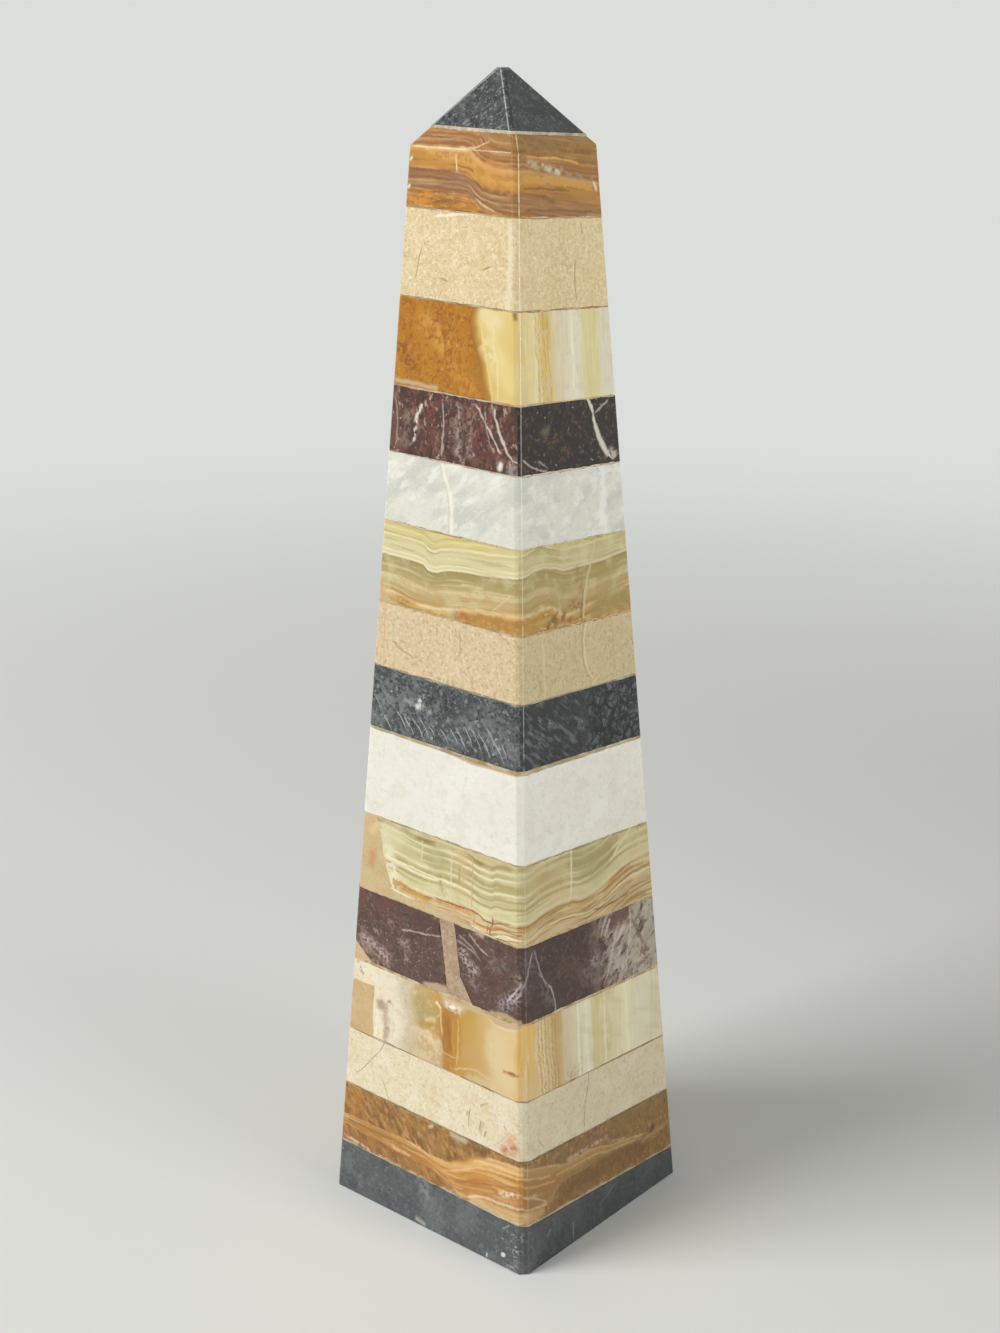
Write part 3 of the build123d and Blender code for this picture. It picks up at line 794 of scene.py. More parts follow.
honey = Finish("honey onyx, bands upright", "#dcb468", bed_height(3))
front = honey.faces(honey.stirred(8, 4))[0]
aslant = honey.bands(front.along, [
    (-52, "#d8c8a4"), (-40, "#eee2c6"), (-30, "#f2e6c8"), (-21, "#ebdfc4"), (-15, "#dccbb0"),
    (-11, "#d2bd96"), (-6, "#c8ac72"), (0, "#caa660"), (4, "#c29247"), (7, "#b77e2c"), (12, "#bb8430"),
    (15, "#c69740"), (22, "#cda556"), (27, "#d6b06c"), (31, "#e0c592"), (42, "#e4c78e"), (45, "#dcb25c"),
    (52, "#dcae50"),
])
side = honey.faces(honey.stirred(7, 1.4))[1]
honey.colour = honey.bands(side.along, [
    (-52, "#e6b75e"), (-46, "#e9bd66"), (-41, "#eec26a"), (-38.4, "#e9c176"), (-37, "#f2d8a4"),
    (-35.6, "#e6c68c"), (-34, "#efd4a0"), (-32, "#dfc08a"), (-30, "#e6ca94"), (-28, "#d8bb80"),
    (-25, "#cfae6c"), (-22.6, "#d4b47a"), (-21, "#dcc8a0"), (-15, "#e1d4b0"), (-12, "#e6dcba"),
    (-11, "#f3ecd0"), (-9.8, "#e6e1c2"), (-5, "#f0e9cc"), (-3, "#e9e0c0"), (-1.8, "#ddcf98"),
    (3.6, "#e0cf96"), (5, "#e8d8a6"), (10, "#e3d6ac"), (15, "#ecdfb8"), (19.6, "#f2e8c0"),
    (21.6, "#f4efcc"), (24, "#ece4c0"), (30, "#e8e2c4"), (35, "#e9e2c4"), (52, "#dad4b6"),
])
honey.tint(honey.is_front, aslant)
on_side = honey.level(honey.is_front, 1, 0)
honey.mottle([
    ("#fbf4dd", 1.6, 0.5, 0.7, 0.35, 4, 0.5, (1, 1, 0.05)),
    ("#cdb988", 2.2, 0.5, 0.7, 0.3, 4, 0.5, (1, 1, 0.05)),
], within=on_side)
turn = {"Vector": honey.solid, "Angle": math.radians(25)}
streaks = honey.add("VectorRotate", turn, rotation_type="X_AXIS")[0]
honey.mottle([("#d3c49a", 4, 0.48, 0.66, 0.35, 5, 0.5, (1, 0.3, 1))], within=on_side, place=streaks)
honey.patches(side, [
    ([(-46, 6), (-40, 7)], 9, "#e2c897", 5, 0, 0.7),
    ([(-26, 31), (-24, 25)], 4, "#c39c52", 3, 0, 0.5),
    ([(-20, 3), (-13, 4)], 5, "#bfa67c", 3, 3, 0.6),
    ([(8, 16), (8, 4)], 4, "#cdb88c", 3, 4, 0.5),
    ([(2, 31), (12, 30)], 4, "#cdb98c", 2, 3, 0.5),
])
zigzag = honey.faces(honey.stirred(2.2, 3.0))[1]
for along in (-36.2, -34.0, -31.8, -29.8, -27.6, -25.8):
    line = [(along, -6), (along + 0.5, 8), (along - 0.4, 20), (along, 36)]
    honey.line(zigzag, line, 0.3, "#b58c52", 0.5, 0.65, upright=True)
for along, width in ((-10.9, 0.7), (-5.5, 0.4), (6.8, 0.4), (21.4, 0.5)):
    line = [(along, -6), (along - 0.5, 15), (along + 0.1, 36)]
    honey.line(side, line, width, "#f9f4dc", 0.4, 0.6, upright=True)
front = honey.faces(honey.stirred(5, 2.6))[0]
honey.patches(front, [
    ([(-38, 33), (-28, 24), (-20, 33)], 7, "#f2ebd6", 4, 4, 0.6),
    ([(-15, 33), (-13, 26)], 5, "#cfbb9c", 3, 4, 0.7),
    ([(-19, 24), (-18, 8)], 6, "#efe7d0", 3, 6, 0.7),
    ([(-11, 14), (-10, 8)], 4.5, "#dcc5aa", 2.4, 2.4, 0.8),
    ([(-5, 13), (2, 12), (2, 5), (-5, 6)], 7, "#dec9a2", 2.4),
    ([(-4, 11), (2, 7)], 8, "#c9a772", 3, 1.8, 0.7),
    ([(-5, 15), (0, 15.5), (3, 12)], 5, "#e9ceaa", 2, 2, 0.8),
    ([(-15, 8), (-9, 7)], 4, "#c8bc9c", 2, 3, 0.8),
    ([(-19, 34), (-16, 31)], 5, "#d2c6a8", 2.4, 3, 0.7),
    ([(-36, 22), (-28, 25)], 4, "#ecd9b4", 3, 4, 0.6),
    ([(-4, 16.6), (0, 15.4)], 2, "#ecd0a4", 1.4, 1.6, 0.7),
    ([(-8, 34), (-1, 35), (5, 34)], 5, "#c89b48", 2.4, 3, 0.85),
    ([(-2, 31), (2, 28)], 3, "#cda24e", 1.8, 2, 0.8),
    ([(-7, 28), (-5, 22), (-1, 25)], 7, "#b8a266", 2.4, 0, 0.95),
    ([(-6, 18.4), (-2, 19.6), (3, 21)], 2.6, "#bf9542", 1.6, 0, 0.8),
    ([(-2.8, 21.6), (0.6, 22.6)], 1.6, "#e8cc88", 1.2, 0, 0.85),
    ([(7, 33.4), (15, 33.6)], 4.6, "#d8c69c", 2, 0, 0.85),
    ([(8, 32), (14, 31)], 3, "#efe4c8", 1.6, 1.8, 0.9),
    ([(7, 25), (8, 20), (9.4, 14)], 5.2, "#b1741d", 2, 0, 0.8),
    ([(6.4, 24), (7.2, 20)], 2.4, "#9a5f18", 2, 2, 0.6),
    ([(12, 27), (12.4, 16), (12.4, 9)], 2.4, "#bf8c3a", 1.4, 0, 0.7),
    ([(9.4, 7), (12.6, 5)], 3.6, "#cc9644", 1.6, 2, 0.8),
    ([(19, 14), (28, 11)], 7, "#cda568", 4, 0, 0.6),
    ([(34, 24), (35, 17), (40, 12)], 10, "#e6ce9c", 3, 0, 0.8),
    ([(31, 27), (30, 20)], 4, "#dcc48c", 3, 3, 0.5),
    ([(20, 5.4), (30, 5.2)], 2.8, "#d8bc8c", 0.9),
    ([(18, 6.2), (22, 6.4)], 1.4, "#b8925c", 1, 2, 0.7),
    ([(-28.6, 20), (-26, 19.4)], 3.6, "#bd9888", 2, 0, 0.75),
    ([(-28.6, 20.4), (-26, 19)], 4, "#a98474", 1.4, 1.8, 0.6),
    ([(-26, 17), (-24.6, 11), (-25.4, 5)], 2.2, "#c0a28e", 1.4, 0, 0.75),
    ([(-25, 11), (-25.6, 5)], 2.4, "#a98c78", 1.2, 2, 0.6),
    ([(-29.4, 14), (-28.6, 8)], 2.2, "#f4e8c8", 1.2),
    ([(-24.6, 22.6), (-23.4, 23.2)], 0.8, "#a58f76", 0.6, 0, 0.8),
    ([(-43, 29.4), (-37, 28.8), (-31.6, 27.2)], 1.8, "#efdfb6", 0.9),
    ([(-42, 34.6), (-40, 32), (-38.4, 30.6)], 0.9, "#969078", 0.8, 1.6, 0.9),
])
front = honey.faces(honey.stirred(3, 1.0))[0]
honey.patches(front, [
    ([(9.2, 31.4), (11.4, 31.9)], 1.3, "#fffaf0", 0.5, 0, 1),
    ([(2, 30.8), (3.8, 29.4)], 0.8, "#fbf0dc", 0.5),
    ([(38, 13.7), (45, 13.9)], 0.8, "#b77a40", 0.8, 0, 0.8),
    ([(41, 13.8), (43, 13.9)], 1.4, "#a9662e", 0.8, 0, 0.8),
])
front = honey.faces(honey.stirred(5, 1.8))[0]
honey.lines(front, [
    ([(-31, 17), (-30.4, 12), (-30.6, 5)], 0.8, "#fdf6e0"),
    ([(-21, 24), (-20, 16), (-20.6, 7)], 0.8, "#f6eed8"),
    ([(2.4, 30.4), (4.2, 27.6), (4.4, 24), (6, 17.6)], 0.5, "#ecd49c"),
    ([(5.8, 16.6), (6.6, 12.4), (7.4, 9.6)], 0.5, "#86744e"),
    ([(13.6, 28), (13.9, 18), (13.4, 7)], 0.6, "#dfb260"),
    ([(14.7, 27), (15.0, 12)], 0.4, "#b08838"),
    ([(8.4, 27), (9.6, 13)], 0.3, "#a0651c"),
    ([(10.8, 27), (11.6, 12)], 0.3, "#d09c48"),
    ([(45, 35), (45.4, 20), (45.6, 4)], 0.6, "#e6c67c"),
], most=0.8, upright=True)
honey.lines(front, [
    ([(5, 11.4), (9, 10.6), (14, 10.6)], 0.5, "#dab272"),
    ([(1, 23), (3, 25.4), (4.6, 28)], 0.5, "#dcc284"),
    ([(12, 5.4), (18, 7.8), (21, 8.7), (27, 8.4), (33, 6.9), (38, 3.8)], 0.6, "#dcc28e"),
    ([(28, 34.4), (32, 32.4), (36, 31.2), (41, 32.4), (46, 34.6)], 0.8, "#f0dab2"),
], fade=0.5, most=0.8)
on_front = honey.both(front.on, honey.is_front, honey.level(front.along, 6, 0))
honey.mottle([
    ("#f4ead0", 3, 0.5, 0.68, 0.3, 5, 0.6),
    ("#b9965c", 2.2, 0.52, 0.7, 0.3, 5, 0.6),
], within=on_front)
over_seep = honey.over(front, [
    (-52, 37.4), (-30, 36.8), (-9, 36.2), (8, 34.4), (20, 33.6), (28, 33.6), (35, 31.8), (41, 32.8), (52, 35),
])
honey.tint(honey.both(honey.level(over_seep, -0.6, 0.4), front.on), "#cfb488")
ground_piece("honey_onyx_lower", honey.polish(0.22, worn="#f6e2b4"))
fill_piece("honey_lower_fill", filler_material)


# ---- Lower burgundy marble, in two blocks --------------------------------------------------------
# Dark wine-coloured marble, broken and healed with pale veins. Two blocks meet in a slanting resin
# joint on the front, and resin makes up the missing lower corner at the left.

wine = Finish("burgundy marble, broken and healed", "#5b4036", bed_height(4))
wine.mottle([
    ("#4f352c", 9, 0.45, 0.62, 0.7, 5),
    ("#6c4c41", 4, 0.5, 0.64, 0.6, 5),
    ("#3f2a25", 2.4, 0.52, 0.66, 0.6, 6, 0.6),
    ("#8d7a70", 1.5, 0.55, 0.68, 0.7, 6, 0.65),
])
wine.tint(wine.flecks(1.6, 0.12, 0.3, 0.7), "#a08f84")
wine.tint(wine.threads(7, 0.01, 0.45, 4), "#9a877c")
front, side = wine.faces(wine.stirred(3, 1.6))
wine.patches(front, [
    ([(-42, 33), (-28, 32), (-14, 32)], 7, "#6e3b31", 4, 4, 0.8),
    ([(-8, 31), (2, 27)], 9, "#4d332c", 4, 4, 0.7),
    ([(-41, 17), (-34, 13), (-25, 11)], 7, "#866b64", 3.4, 2.2, 0.8),
    ([(-38, 14), (-33, 12), (-26, 9)], 4, "#bfa59b", 2.4, 1.3, 0.9),
    ([(-40, 12), (-36, 9)], 4, "#a38f80", 2, 1.6, 0.8),
    ([(-32, 19.6), (-30, 19)], 2, "#a58d80", 1.4, 1.4, 0.9),
    ([(-24.4, 25), (-23, 24)], 2.4, "#94766a", 1.2, 1.4, 0.9),
    ([(-18, 18), (-14.6, 19), (-15, 12)], 2.4, "#a08a80", 1.4, 1.4, 0.9),
    ([(2, 26), (4, 14)], 3, "#6b5d48", 2, 2, 0.6),
    ([(3, 34), (4.4, 32)], 2.4, "#c4b3a4", 1.2, 1.3, 0.85),
    ([(14.6, 24), (18, 20), (21, 18.6)], 4, "#b7a8a2", 1.6, 1.3, 0.9),
    ([(17, 16), (22, 12)], 4, "#94817a", 2.4, 1.3, 0.8),
    ([(31, 23), (36, 25)], 4, "#777074", 2.4, 1.8, 0.6),
    ([(36, 9), (40, 12), (46, 17)], 5, "#a294a0", 2.6, 1.4, 0.9),
    ([(43.5, 34), (43.8, 23)], 2, "#402c27", 1.2, 0, 0.6),
    ([(-4, 4), (2, 5.2), (8, 5.6), (14, 4)], 3.6, "#c0a888", 0.7, 0, 0.95),
    ([(19, 34.4), (26, 33.6)], 1.4, "#c4b094", 0.8, 1.6, 0.9),
    ([(31, 3.4), (38, 4.4), (44, 3.6)], 2.8, "#c4a678", 0.7),
    ([(27, 18), (34, 15)], 6, "#583630", 2.5, 3, 0.7),
    ([(43, 22), (45, 17)], 2.6, "#a5948c", 1.4, 1.3, 0.8),
    ([(17, 9), (24, 6)], 4, "#5e4034", 2, 0, 0.7),
    ([(-38, 5), (-24, 5)], 2.2, "#a58f80", 1.4, 2, 0.7),
])
wine.lines(front, [
    ([(-18, 23.6), (-11, 25), (-4, 25.8), (3.4, 27.4)], 0.5, "#b9a89f"),
    ([(-5, 25.6), (-3.6, 28), (-2, 29.5)], 0.4, "#9c8c84"),
    ([(17, 33.5), (21, 30), (28, 26.5)], 0.6, "#b3a69e"),
    ([(11, 28.2), (17, 27), (24, 23.5)], 0.5, "#a3958d"),
    ([(12, 30.8), (17, 29), (22, 25.5)], 0.4, "#a3958d"),
])
wine.lines(front, [
    ([(38, 11), (42, 16.5), (45.5, 22.5)], 0.8, "#cfc4bb"),
    ([(41, 11), (44, 16), (46.5, 20.5)], 0.5, "#bdb0a8"),
], upright=True)
dark_half = wine.both(wine.level(side.along, 4, -6, 0.75), side.on, wine.level(wine.is_front, 1, 0))
wine.mottle([
    ("#43332f", 8, 0.3, 0.5),
    ("#7a6a64", 1.8, 0.54, 0.66, 0.6, 6, 0.65),
], within=dark_half)
wine.patches(side, [
    ([(-41, 29), (-38, 25)], 5, "#74646a", 2.4, 2, 0.7),
    ([(-32, 14), (-28, 8)], 5, "#786a68", 2.4, 2, 0.6),
    ([(-6, 12), (0, 6)], 6, "#7d7068", 3, 2, 0.7),
])
turn = {"Vector": wine.solid, "Angle": math.radians(-40)}
broken = wine.add("VectorRotate", turn, rotation_type="X_AXIS")[0]
ragged = wine.faces(wine.stirred(8, 14))[1]
for start, end, size, low, colour, most in (
    (-8, 4, 3.0, 0.48, "#75665d", 0.9),
    (-2, 8, 2.6, 0.50, "#98897e", 0.9),
    (7, 15, 5.0, 0.40, "#b0a393", 1.0),
    (7, 15, 3.4, 0.52, "#968a78", 0.7),
    (20, 30, 4.0, 0.46, "#bfb6a0", 0.8),
    (4, 14, 2.2, 0.58, "#6b5850", 0.9),
    (4, 12, 1.6, 0.56, "#cdc3b4", 0.7),
):
    there = wine.both(wine.level(ragged.along, start, end), wine.level(wine.is_front, 1, 0))
    wine.mottle([(colour, size, low, low + 0.1, most, 6, 0.5, (1, 0.5, 1))], within=there, place=broken)
wine.patches(side, [
    ([(13, 26), (17, 28), (23, 27)], 6, "#634a40", 1.8),
    ([(14, 23), (19, 24)], 3, "#6e5046", 1.2, 2, 0.8),
    ([(15, 25), (22, 26)], 6, "#7d5a50", 1.6, 1.6, 0.7),
    ([(24, 23), (28, 21), (31, 16), (34, 10)], 1.4, "#7b5f50", 0.8, 0, 0.8),
    ([(17, 17.6), (21, 21.4)], 1.4, "#d3c4b6", 0.8, 0, 0.8),
    ([(9, 22), (11, 26), (14, 31)], 1.4, "#ccb8ac", 0.8, 1.8, 0.9),
    ([(1, 14), (5, 12)], 5, "#aa9c9e", 2, 1.4, 0.8),
    ([(2, 26), (4, 23)], 3, "#7f7a52", 1.6, 2, 0.6),
    ([(31, 8), (37, 5)], 5, "#8a6a5c", 2, 2.4, 0.9),
    ([(35, 3.4), (36, 6)], 1.6, "#5f463c", 0.8, 1.6, 0.8),
    ([(2, 30), (8, 28)], 4, "#6f5a4e", 2, 2, 0.8),
    ([(2, 20), (5, 8)], 5, "#74655f", 2.4, 2, 0.7),
    ([(16, 6), (22, 4)], 5, "#c6bba9", 2, 2, 0.8),
    ([(27, 26), (31, 19)], 1.6, "#6b564c", 1, 2, 0.7),
    ([(37, 28), (38, 18)], 4, "#c4bca4", 2, 3, 0.8),
])
wine.lines(side, [
    ([(-44, 17), (-41, 24), (-38, 31)], 0.7, "#ab9a94"),
    ([(-37, 32), (-34.5, 25), (-32.6, 19), (-28.6, 14.6)], 0.5, "#a0959a"),
    ([(-29, 15), (-26.4, 10), (-25.2, 6), (-25.6, 1)], 0.7, "#b9aeae"),
    ([(-35, 22), (-31, 16), (-28, 12)], 0.3, "#8a7e80"),
    ([(6, 22), (8, 26), (12, 31)], 1.0, "#bdb0a4"),
    ([(8, 3), (12, 10), (15, 18), (17, 22)], 0.8, "#c9bfb2"),
    ([(22, 4), (24, 12), (26, 20), (26, 28)], 0.6, "#cbc2b2"),
], upright=True)
wine_material = wine.polish(0.25, worn="#a89c96", wear_and_highlight_most=0.35)
ground_piece("burgundy_left_block", wine_material)
ground_piece("burgundy_right_block", wine_material)

grit = Finish("polyester resin with grit", "#b2967a")
grit.mottle([
    ("#c6ab8c", 3, 0.45, 0.6, 0.7, 5),
    ("#8a745e", 1.2, 0.52, 0.64, 0.6, 5),
])
grit.tint(grit.flecks(1.5, 0.35, 0.32, 0.8), "#d8c8a8")
ground_piece("burgundy_joint_fill", grit.polish(0.4, worn="#c9b48e"), RESIN_RECESS)
fill_piece("burgundy_corner_fill", filler_material)


# ---- Lower green onyx ----------------------------------------------------------------------------
# Onyx in fine level layers that sag between its cracks: tan and orange at the foot, then pale green
# with olive shadows and thin white lines. Resin makes up its broken upright edge at the left.

green = Finish("green onyx, in thin layers", "#d8ce9c", bed_height(5))
front, side = green.faces(green.stirred(5, 1.1))
front_sag = [
    (-45, 2.5), (-30, 2), (-20, 1), (-5, -0.5), (5, 0.2), (16, -0.6), (27, -2.2), (30, -1), (38, 0), (45, 1),
]
side_sag = [
    (-45, 1), (-41, 0.4), (-32, 1.5), (-24, 2), (-12, 1), (-2, -0.6), (8, 0.6), (20, 3.6), (28, 4.6), (45, 4),
]
flow = green.by_face(green.over(front, front_sag), green.over(side, side_sag))
green.colour = green.bands(flow, [
    (2, "#cdb083"), (4.2, "#dcc292"), (5.0, "#f5e8c0"), (5.8, "#ad8148"), (6.6, "#dfc38a"),
    (7.5, "#bd8c4a"), (8.5, "#d3a660"), (9.5, "#c08e4a"), (10.3, "#8e5a32"), (10.9, "#dcb880"),
    (11.7, "#f0e6c0"), (13.2, "#dcd09c"), (16.2, "#e3d8a8"), (17.2, "#ab9a64"), (17.9, "#d2c68e"),
    (18.6, "#f7f0cb"), (19.4, "#cec08a"), (20.4, "#aa9a62"), (21.6, "#c8ba84"), (22.6, "#eee8bd"),
    (23.6, "#bdae78"), (26.4, "#b0a06c"), (27.6, "#c8ba84"), (28.4, "#f3ecc5"), (29.3, "#b8aa72"),
    (30.4, "#cabd88"), (31.3, "#efe8be"), (32.4, "#a99f63"), (33.6, "#94783f"), (34.6, "#cdbf85"),
])
along_flow = green.layered(flow)
green.mottle([("#e4ddb4", 1.3, 0.5, 0.66, 0.6, 4, 0.5, (0.05, 0.05, 1))], place=along_flow)
green.mottle([("#cdbb88", 14, 0.42, 0.6, 0.3)])
green.mottle([("#a2995f", 1.6, 0.52, 0.68, 0.55, 4, 0.5, (0.05, 0.05, 1))], place=along_flow)
green.mottle([("#e6dfb0", 12, 0.5, 0.65, 0.45)])
low_part = green.level(flow, 12, 10)
green.mottle([
    ("#9c6e38", 1.2, 0.5, 0.62, 0.8, 4, 0.5, (0.06, 0.06, 1.2)),
    ("#e8cf98", 1.4, 0.52, 0.64, 0.8, 4, 0.5, (0.05, 0.05, 1)),
], within=low_part, place=along_flow)
green.patches(front, [
    ([(-40, 32), (-30, 27), (-24, 12)], 9, "#f0e8ca", 2.5, 3, 0.9),
    ([(-36, 20), (-24, 30)], 12, "#e8e0b8", 4, 0, 0.5),
    ([(-26, 30), (-12, 26)], 8, "#ddd6a6", 4, 0, 0.4),
    ([(0, 28), (0, 26)], 9, "#a9a06e", 3, 0, 0.5),
    ([(13, 32), (14, 14)], 6, "#d8b482", 3, 5, 0.55),
    ([(-20, 11), (-12, 9), (-7, 9)], 3.4, "#d4a452", 1.8, 2, 0.75),
    ([(0, 9.6), (20, 9.8)], 1.0, "#dea868", 0.8, 0, 0.7),
    ([(2, 10), (20, 10.4)], 2, "#c98a48", 1.2, 1.6, 0.7),
    ([(-22, 7.6), (-12, 6.4)], 1.6, "#f4ead0", 0.8),
    ([(-12, 5), (14, 5.5)], 3.5, "#cfae80", 1.6, 0, 0.8),
    ([(2, 18), (4, 14)], 3, "#bca878", 1.5, 1.5, 0.6),
])
green.lines(front, [
    ([(-8, 23), (-8.2, 28), (-8, 33)], 0.5, "#ddd5a8"),
    ([(1.6, 22), (2, 18), (3.4, 13)], 0.4, "#a89a68"),
    ([(7.6, 14), (7.2, 22), (7.8, 31)], 0.5, "#dcd1a2"),
    ([(11, 20), (11.6, 24), (11, 28)], 0.9, "#b3a670"),
    ([(18, 12), (18.4, 24), (17.4, 33)], 0.4, "#d2ae7c"),
    ([(28.8, 2), (28.2, 6), (29.2, 9), (28.6, 12)], 0.7, "#8f4e30"),
    ([(26.6, 4), (27, 8)], 0.4, "#a86a44"),
    ([(19.6, 5), (20, 9)], 0.4, "#c08a50"),
], upright=True)
green.lines(front, [
    ([(-1, 10.9), (8, 10.8), (16, 11.1), (22, 10.6), (28, 8.8), (32, 9.8), (38, 11)], 0.4, "#96562f"),
    ([(18, 5.2), (24, 4), (28, 3.4), (33, 5), (38, 5.6), (45, 4.6)], 0.7, "#faeeda"),
    ([(20, 7.4), (28, 6.2), (34, 7.8), (45, 7.4)], 0.4, "#b5713c"),
    ([(-30, 21.4), (-20, 20.4), (-5, 19.4), (8, 19.2), (18, 18.6)], 0.4, "#f8efcc"),
])
# Painted shade over the right-hand face, with some of its own tint.
green.tint_and_shade_side("#b9a068", 0.25)
green.patches(side, [
    ([(-6, 29), (4, 22), (10, 24)], 14, "#a0965f", 4, 0, 0.5),
    ([(-38, 28), (-20, 24)], 10, "#c0b683", 4, 0, 0.3),
    ([(28, 27), (36, 22)], 9, "#cdc690", 3, 0, 0.4),
])
green.line(side, [(-11, 34), (-11.6, 19), (-14, 12)], 0.9, "#ece0be", upright=True)
green.patch(side, [(-32, 28), (-18, 22)], 10, "#c2a874", 5, 0, 0.4)
green.lines(side, [
    ([(14, 20), (21, 25), (29, 30)], 1.3, "#ded6a6"),
    ([(2, 3.4), (14, 2.6), (26, 3.8)], 0.7, "#8a6c3c"),
])
ground_piece("green_onyx_lower", green.polish(0.24, worn="#f0e8c0"))

seep = Finish("polyester resin, run with rust", "#d3bc8e")
seep.mottle([("#ccb07c", 10, 0.4, 0.62, 0.7)])
seep.patches(seep.front, [
    ([(-35.4, 150), (-34.6, 154)], 2.4, "#c98a5a", 2.4, 0, 0.7),
    ([(-35, 164), (-32, 168)], 3, "#e3c69c"),
])
seep.mottle([("#b08a60", 1.2, 0.54, 0.68, 0.4, 5)])
fill_piece("green_lower_fill", seep.polish(0.36, worn="#ecd8b0"))


# ---- Lower white marble --------------------------------------------------------------------------
# Fine white marble, faintly clouded, sawn to an even slab and polished. The gap that opens over it
# towards the near corner is filled with resin.

white = Finish("white marble", "#edeadd", bed_height(6))
white.mottle([
    ("#f4f1e7", 16, 0.42, 0.64, 0.7, 5),
    ("#e4dfce", 7, 0.5, 0.66, 0.6, 5),
    ("#dcd6c4", 2.4, 0.54, 0.7, 0.45, 5),
    ("#f9f7f0", 1.3, 0.56, 0.7, 0.5, 5),
])
white.tint(white.threads(18, 0.008, 0.35, 3), "#d6cfbb")
seep_line = [(0, 39.8), (8, 38.9), (16, 37.9), (24, 38.3), (40, 38.5)]
white.patch(white.front, seep_line, 1.5, "#c5a47c", 0.5)
white.patch(white.side, [(-38, 38.5), (-22, 37.6), (-8, 36.4)], 0.7, "#b3a17c", 0.5, 3, 0.9)
ground_piece("white_marble_lower", white.polish(0.3, worn="#faf8f1", wear_and_highlight_most=0.3))


# ---- Charcoal middle course ----------------------------------------------------------------------
# The same dark limestone as the foot, but with thin slanting scratches of white on the front, one
# white blot, and a black net in the right-hand face.

stone = Finish("charcoal limestone, netted", "#45494a", bed_height(7))
stone.mottle([
    ("#6b7172", 9, 0.42, 0.62, 0.8, 6),
    ("#393f42", 5, 0.5, 0.66, 0.7, 6),
    ("#8f9493", 1.8, 0.51, 0.66, 0.8, 5, 0.65),
    ("#1f2223", 1.2, 0.5, 0.64, 0.85, 5),
])
front, side = stone.faces(stone.stirred(3, 1.2))
stone.patches(front, [
    ([(-30, 18), (-22, 14), (-16, 17)], 8, "#868c8c", 4, 3, 0.6),
    ([(-38, 8), (-30, 12)], 8, "#7b8182", 4, 3, 0.5),
    ([(-20, 17), (-14, 18.6), (-6, 16.4)], 1.6, "#9ea2a0", 1, 2, 0.8),
    ([(-13, 17), (-10, 21), (-11, 17.5)], 2.4, "#d2d4d0", 0.9, 2.4, 1),
    ([(18, 19), (28, 14), (34, 9)], 9, "#858b8b", 4, 2, 0.5),
    ([(4, 12), (10, 9)], 7, "#7d8383", 3, 2, 0.5),
])
for start, end, height, drop in (
    (-24, -18, 13, 7), (-20, -14, 11, 6), (-16, -9, 12, 7), (-12, -6, 13, 8), (-7, -3, 11, 5), (-1, 4, 11, 6),
    (4, 9, 12, 6), (7, 13, 13, 8), (11, 16, 15, 8), (14, 21, 15, 9), (18, 25, 14, 9), (22, 27, 17, 7),
    (26, 32, 12, 8), (30, 34, 12, 8), (-31, -26, 10, 6), (-36, -32, 17, 6),
):
    middle = ((start + end) / 2 + 0.4, height - drop * 0.45)
    stone.line(front, [(start, height), middle, (end, height - drop)], 0.35, "#bdc1bf", 0.4, 0.8)
for along, up in ((26, 7), (29, 10), (27, 13), (-5, 6), (-27, 20)):
    stone.patch(front, [(along, up), (along + 0.4, up + 0.3)], 0.5, "#b6bab8", 0.4)
on_side = stone.both(side.on, stone.level(stone.is_front, 1, 0))
# The right-hand face darkened: partly its own dark stone, partly painted shade.
stone.mottle([("#272b2c", 6, 0.3, 0.5, 0.85)], within=on_side)
netted = stone.both(on_side, stone.level(side.along, -1, 8))
stone.mottle([("#5e6362", 3, 0.4, 0.6)], within=netted)
for size, width in ((7, 1.1), (3.6, 0.6)):
    net = stone.cracks(size, width, 0.9, stone.stirred(3, 3, stone.solid))
    stone.tint(stone.both(netted, net), "#14181a")
turn = {"Vector": stone.solid, "Angle": math.radians(38)}
slanting = stone.add("VectorRotate", turn, rotation_type="X_AXIS")[0]
streaky = stone.both(on_side, stone.level(side.along, 3, -6))
stone.mottle([
    ("#6e7372", 1.6, 0.5, 0.66, 0.65, 4, 0.5, (1, 0.24, 1)),
    ("#25292a", 1.3, 0.52, 0.68, 0.8, 4, 0.5, (1, 0.24, 1)),
], within=streaky, place=slanting)
ground_piece("charcoal_middle", stone.polish(0.26, worn="#c4c7c3", wear_and_highlight_most=0.45))


# ---- Beige limestone -----------------------------------------------------------------------------
# Beige limestone with a sandy grain that takes a softer polish than marble. One peach-coloured vein
# and a few healed cracks run up through the slab.

